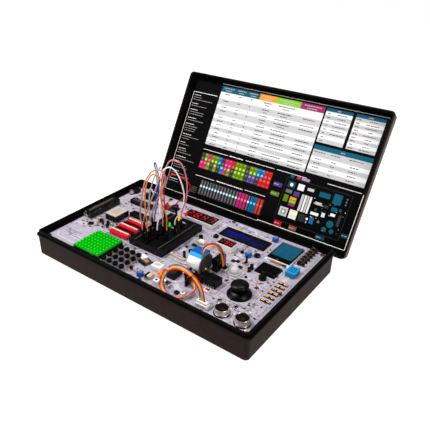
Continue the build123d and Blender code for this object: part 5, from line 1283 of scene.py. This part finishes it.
# ------------------------------------------------------------------ range sensor cans
P = Piece("range_cans")
for x, y in ((116.4, -77.3), (142.6, -77.8)):
    P.ring((x, y, ZP), 7.9, 9.3, 1.1, "black_satin", n=40, ch=0.3)
    P.ring((x, y, ZP), 7.2, 8.0, 8.1, "aluminium", n=44, ch=0.28)
    P.cyl((x, y, ZP), 7.3, 4.8, "black_matte", n=36)
    P.ring((x, y, ZP + 4.8), 6.1, 7.24, 1.6, "black_matte", n=40, ch=0.2)
    P.ring((x, y, ZP + 1.1), 7.9, 8.7, 0.5, "aluminium", n=44, ch=0.15)
    for k in range(-5, 6):
        hl = math.sqrt(max(0.0, 5.9 ** 2 - (k * 1.05) ** 2))
        P.box((x + k * 1.05, y, ZP + 6.0), (0.24, 2 * hl, 0.24), "mesh_brown")
        P.box((x, y + k * 1.05, ZP + 6.1), (2 * hl, 0.24, 0.24), "mesh_brown")
    P.lathe((x, y, ZP + 4.8), [(0, 0), (2.6, 0), (2.2, 0.9), (0, 1.1)], "copper_dark", n=20)
ob = P.done("base")
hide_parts("range_sensor_cans")

# ------------------------------------------------------------------ motor
P = Piece("motor_shell")
mx0, myy, mz, mr, ml = 42.7, -31.7, ZP + 14.2, 14.0, 18.7
P.lathe((mx0, myy, mz), [(0, 0), (12.6, 0), (13.6, 0.35), (14.0, 1.2), (14.0, ml - 1.4), (13.7, ml - 0.7), (0, ml - 0.7)], "can_silver", n=64, axis="X")
# the shaft end face is drawn dark grey: painted shade on the end of the silver can
P.lathe((mx0 + ml - 0.75, myy, mz), [(0, 0), (13.6, 0), (13.6, 0.35), (13.0, 0.7), (0, 0.7)], "disc_painted_shade", n=56, axis="X")
P.ring((mx0 + ml - 0.25, myy, mz), 12.4, 13.3, 0.3, "grey_mid", n=56, axis="X", ch=0.08)
P.lathe((mx0 + ml - 0.1, myy, mz - 8.0), [(0, 0), (4.5, 0), (4.5, 1.1), (4.1, 1.45), (2.6, 1.45), (2.5, 1.3), (0, 1.3)], "brass", n=32, axis="X")
for k in (0, 1, 2):
    a = math.radians(90 + 120 * k)
    P.cyl((mx0 + ml - 0.1, myy + 10.2 * math.cos(a), mz + 10.2 * math.sin(a)), 0.8, 0.3, "black_matte", n=14, axis="X")
for sy in (-10.6, 11.6):
    P.box((mx0 + ml - 0.45, myy + sy, mz - 14.1), (0.8, 7.0, 3.2), "can_grey", ch=0.12)
cover = [(-9.4, 7.8), (-7.8, 13.5), (-6.0, 15.2), (8.0, 15.2), (9.0, 13.0), (9.4, 7.8)]
M = Matrix(((0, 0, 1, mx0 + 1.0), (1, 0, 0, myy), (0, 1, 0, mz), (0, 0, 0, 1)))
P.prism(cover, 0, 16.7, "cover_blue", M=M)
# a lighter cyan sliver along the cover's front upper edge: a painted highlight on the blue cover
P.prism([(-9.5, 7.9), (-7.95, 13.65), (-6.2, 15.25), (-6.0, 15.1), (-7.6, 13.4), (-9.2, 7.8)], -0.05, 16.8, "cover_painted_highlight", M=M)
for k in range(5):
    P.box((59.0 + (k - 2) * 0.5, -35.0 + (k - 2) * -0.3, 59.6), (0.8, 1.4, 0.5), "hole_black")
ob = P.done("base")
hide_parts("motor_can")

# ------------------------------------------------------------------ fixed modules
P = Piece("module_bodies")
# card socket, open to the front
P.box((-114, 49.4, ZP), (38.0, 5.0, 6.5), "black_gloss", ch=0.3)
P.box((-114, 45.0, ZP), (38.0, 4.0, 2.0), "black_satin", ch=0.2)
P.box((-114, 45.0, ZP + 4.8), (38.0, 4.0, 1.7), "black_gloss", ch=0.2)
for x in (-132.3, -95.7):
    P.box((x, 45.2, ZP), (1.4, 4.4, 6.5), "grey_dark", ch=0.2)
P.box((-114, 46.9, ZP + 2.0), (34.0, 0.2, 2.8), "grey_mid")
P.box((-113, 47.2, ZP + 6.44), (33.0, 5.6, 0.1), "can_grey")
for i in range(22):
    P.box((-129.75 + i * 1.5, 46.4, ZP + 2.0), (0.6, 1.0, 2.6), "tin")
# tall block at the back left with a pale bail over it
P.box((-117, 72, ZP), (16.0, 12.0, 9.0), "black_gloss", ch=0.4)
P.box((-117, 66.2, ZP + 1.5), (12.0, 0.5, 5.5), "black_matte", ch=0.15)
arch = [(-122.0 + 11.0 * t, 71.0, ZP + 8.6 + 9.5 * math.sin(math.pi * t)) for t in [i / 20 for i in range(21)]]
P.tube(arch, 0.7, "white_plastic", n=10)
# driver block and its heat face, upright carrier behind the motor
P.box((79.0, -42.0, ZP), (17.0, 15.0, 9.0), "black_satin", ch=0.5)
for k in range(6):
    P.box((72.4 + 2.6 * k, -42.0, ZP + 9.0 - 0.02), (0.9, 13.0, 0.7), "black_gloss", ch=0.15)
for k in range(5):
    P.cyl((72.2 + 3.2 * k, -49.6, ZP + 2.0), 0.7, 0.5, "tin", n=12, axis="-Y")
P.box((66.6, -12.5, ZP), (7.6, 19.0, 17.6), "black_satin", ch=0.5)
P.box((66.6, -12.5, ZP + 17.5), (5.4, 16.0, 0.45), "black_gloss", ch=0.1)
P.cyl((70.3, -16.0, ZP + 11.0), 2.0, 0.5, "copper_dark", n=18, axis="X")
P.cyl((70.3, -8.5, ZP + 13.0), 1.5, 0.5, "nickel", n=18, axis="X")
# motor plug and socket
P.box((74.6, -12.0, ZP), (7.0, 6.0, 3.4), "white_plastic", ch=0.3)
P.box((74.2, -12.0, ZP + 3.4), (6.4, 5.4, 2.6), "black_satin", ch=0.3)
# sensor box, slide switch in front of it, stand of the motor, upright sensor card
P.box((33.8, -56.4, ZP), (11.5, 17.0, 7.4), "black_satin", ch=0.5)
for k in range(6):
    P.box((39.6, -62.6 + 2.5 * k, ZP + 0.8), (0.3, 1.1, 5.6), "grey_dark", ch=0.08)
P.box((33.8, -56.4, ZP + 7.38), (8.0, 13.0, 0.12), "grey_dark")
P.box((38.5, -77.0, ZP), (12.0, 8.0, 5.2), "nickel", ch=0.35)
P.box((38.5, -77.0, ZP + 5.18), (7.5, 3.6, 0.12), "chip_black")
P.box((36.9, -77.0, ZP + 5.2), (2.8, 2.6, 1.8), "white_plastic", ch=0.2)
for sx in (-1, 1):
    P.box((38.5 + sx * 6.4, -77.0, ZP), (0.9, 3.0, 2.2), "tin", ch=0.1)
P.box((53.0, -48.2, ZP), (20.0, 4.2, 8.0), "black_satin", ch=0.4)
P.lathe((45.4, -48.0, ZP + 9.6), [(0, 0), (1.9, 0), (2.1, 0.3), (2.1, 7.2), (1.7, 7.6), (1.7, 8.6), (0, 8.6)], "brass", n=26, axis="X")
P.ring((55.6, -48.0, ZP + 9.2), 1.3, 3.3, 3.0, "black_gloss", n=30, axis="X", ch=0.4)
P.box((67.0, -43.2, ZP), (7.0, 12.4, 9.4), "black_satin", ch=0.4)
for k in range(3):
    P.box((66.0, -46.6 + 3.4 * k, ZP + 9.35), (4.6, 1.5, 0.6), "black_gloss", ch=0.12)
P.ring((66.2, -49.9, ZP + 4.6), 1.2, 2.7, 0.7, "grey_dark", n=26, axis="-Y", ch=0.1)
P.cyl((63.9, -40.2, ZP + 9.3), 1.1, 0.7, "copper_dark", n=16)
P.box((57.4, -60.0, ZP), (1.6, 12.0, 21.0), "black_gloss", ch=0.1)
P.box((58.6, -60.0, ZP + 1.0), (1.0, 9.0, 8.0), "black_satin", ch=0.2)
for y, z in ((-63.5, 16.0), (-58.0, 12.0), (-61.0, 5.5), (-64.0, 8.5), (-56.5, 17.5)):
    P.box((58.35, y, ZP + z), (0.35, 1.4, 1.0), "band_red", ch=0.08)
for y, z in ((-60.5, 14.0), (-57.0, 8.0), (-62.5, 11.5)):
    P.box((58.3, y, ZP + z), (0.3, 2.2, 1.0), "grey_mid", ch=0.06)
P.box((56.4, -60.0, ZP + 3.0), (0.5, 8.0, 15.0), "module_blue", ch=0.05)
# pale plug of the front ribbon
P.box((94.1, -81.8, ZP), (15.0, 7.0, 5.0), "white_plastic", ch=0.35)
P.box((94.1, -81.4, ZP + 5.0), (13.6, 5.6, 3.0), "white_plastic", ch=0.4)
for k in range(5):
    P.box((93.6 + (k - 2) * 1.9, -81.8, ZP + 7.95), (1.2, 1.8, 0.08), "hole_black")
    P.box((94.0 + (k - 2) * 2.3, -85.3, ZP + 1.2), (1.0, 0.2, 2.4), "grey_mid")
# sounder discs
P.lathe((89.6, 37.4, ZP), [(0, 0), (4.2, 0), (4.2, 2.4), (3.7, 3.0), (0, 3.0)], "black_gloss", n=30)
P.cyl((89.6, 37.4, ZP + 2.99), 0.9, 0.04, "hole_black", n=14)
P.lathe((119.2, 1.0, ZP), [(0, 0), (4.7, 0), (4.7, 3.8), (4.2, 4.5), (0, 4.5)], "black_gloss", n=32)
P.cyl((119.2, 1.0, ZP + 4.49), 1.0, 0.04, "hole_black", n=14)
# dome sensor
P.lathe((86.0, -9.0, ZP), [(0, 0), (8.0, 0), (8.0, 1.4), (7.4, 2.0), (0, 2.0)], "dome_white", n=40)
prof = [(0, 1.9), (7.0, 2.0)] + [(7.0 * math.cos(math.radians(a)), 2.0 + 7.0 * math.sin(math.radians(a))) for a in range(8, 89, 8)] + [(0, 9.0)]
P.lathe((86.0, -9.0, ZP), prof, "dome_white", n=40)
for ring_a in (24, 48, 68):
    r = 7.05 * math.cos(math.radians(ring_a))
    z = 2.0 + 7.05 * math.sin(math.radians(ring_a))
    n = max(6, int(r * 2.2))
    for k in range(n):
        a = 2 * math.pi * (k + 0.5 * (ring_a == 48)) / n
        d = Vector((math.cos(a) * math.cos(math.radians(ring_a)), math.sin(a) * math.cos(math.radians(ring_a)), math.sin(math.radians(ring_a))))
        T = Matrix.Translation(Vector((86.0, -9.0, ZP + 2.0)) + d * 6.86) @ d.to_track_quat("Z", "Y").to_matrix().to_4x4()
        P.lathe((0, 0, 0), [(0, 0), (0.85, 0), (0.6, 0.16), (0, 0.22)], "dome_white", n=6, M=T)
# pale box and the black and gold block at the front
P.box((10.0, -58.5, ZP), (14.0, 10.0, 6.9), "white_plastic", ch=1.1)
P.box((10.0, -58.5, ZP + 6.88), (9.0, 5.6, 0.08), "cream")
P.box((10.9, -77.1, ZP), (4.6, 8.0, 4.6), "chip_black", ch=0.4)
P.box((15.2, -77.1, ZP), (4.0, 8.0, 4.4), "tan_part", ch=0.4)
P.box((12.9, -77.1, ZP + 0.6), (0.9, 7.6, 4.1), "white_plastic", ch=0.1)
for k in range(3):
    P.tube([(11.0 + 2.0 * k, -80.8, ZP + 2.0), (11.0 + 2.0 * k, -82.6, ZP + 1.7), (11.2 + 2.0 * k, -84.0, ZP + 0.4)], 0.35, "copper_dark", n=8)
ob = P.done("base")
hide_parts("board_modules")

# ------------------------------------------------------------------ stage
me = bpy.data.meshes.new("floor")
me.from_pydata([(-4, -4, 0), (4, -4, 0), (4, 4, 0), (-4, 4, 0)], [], [(0, 1, 2, 3)])
MAT["floor"] = material("floor", C(120, 119, 118), rough=0.95, spec=0.0, emit=0.97, emit_col=C(255, 255, 255), var=0.004, vscale=3.0)
me.materials.append(MAT["floor"])
floor = bpy.data.objects.new("floor", me)
scene.collection.objects.link(floor)

world = bpy.data.worlds.new("world")
scene.world = world
world.use_nodes = True
bg = world.node_tree.nodes["Background"]
bg.inputs["Color"].default_value = (1.0, 1.0, 1.0, 1.0)
bg.inputs["Strength"].default_value = 0.10


def lamp(name, loc, target, size, power, col=(1, 1, 1)):
    d = bpy.data.lights.new(name, "AREA")
    d.shape = "RECTANGLE"
    d.size, d.size_y = size
    d.energy = power
    d.color = col
    o = bpy.data.objects.new(name, d)
    o.location = loc
    o.rotation_mode = "QUATERNION"
    o.rotation_quaternion = (Vector(target) - Vector(loc)).to_track_quat("-Z", "Y")
    scene.collection.objects.link(o)


lamp("key", (-0.55, -0.35, 1.25), (0, 0, 0.03), (0.40, 0.32), 18.4)
lamp("side", (1.05, -0.15, 0.75), (0, 0, 0.05), (0.35, 0.35), 6.5, (1.0, 0.90, 0.82))
lamp("front_left", (-0.42, -0.52, 0.24), (-0.13, -0.10, 0.02), (0.20, 0.20), 1.1, (1.0, 0.97, 0.94))
lamp("top", (0.1, 0.35, 1.5), (0, 0, 0.03), (0.6, 0.4), 11.0)
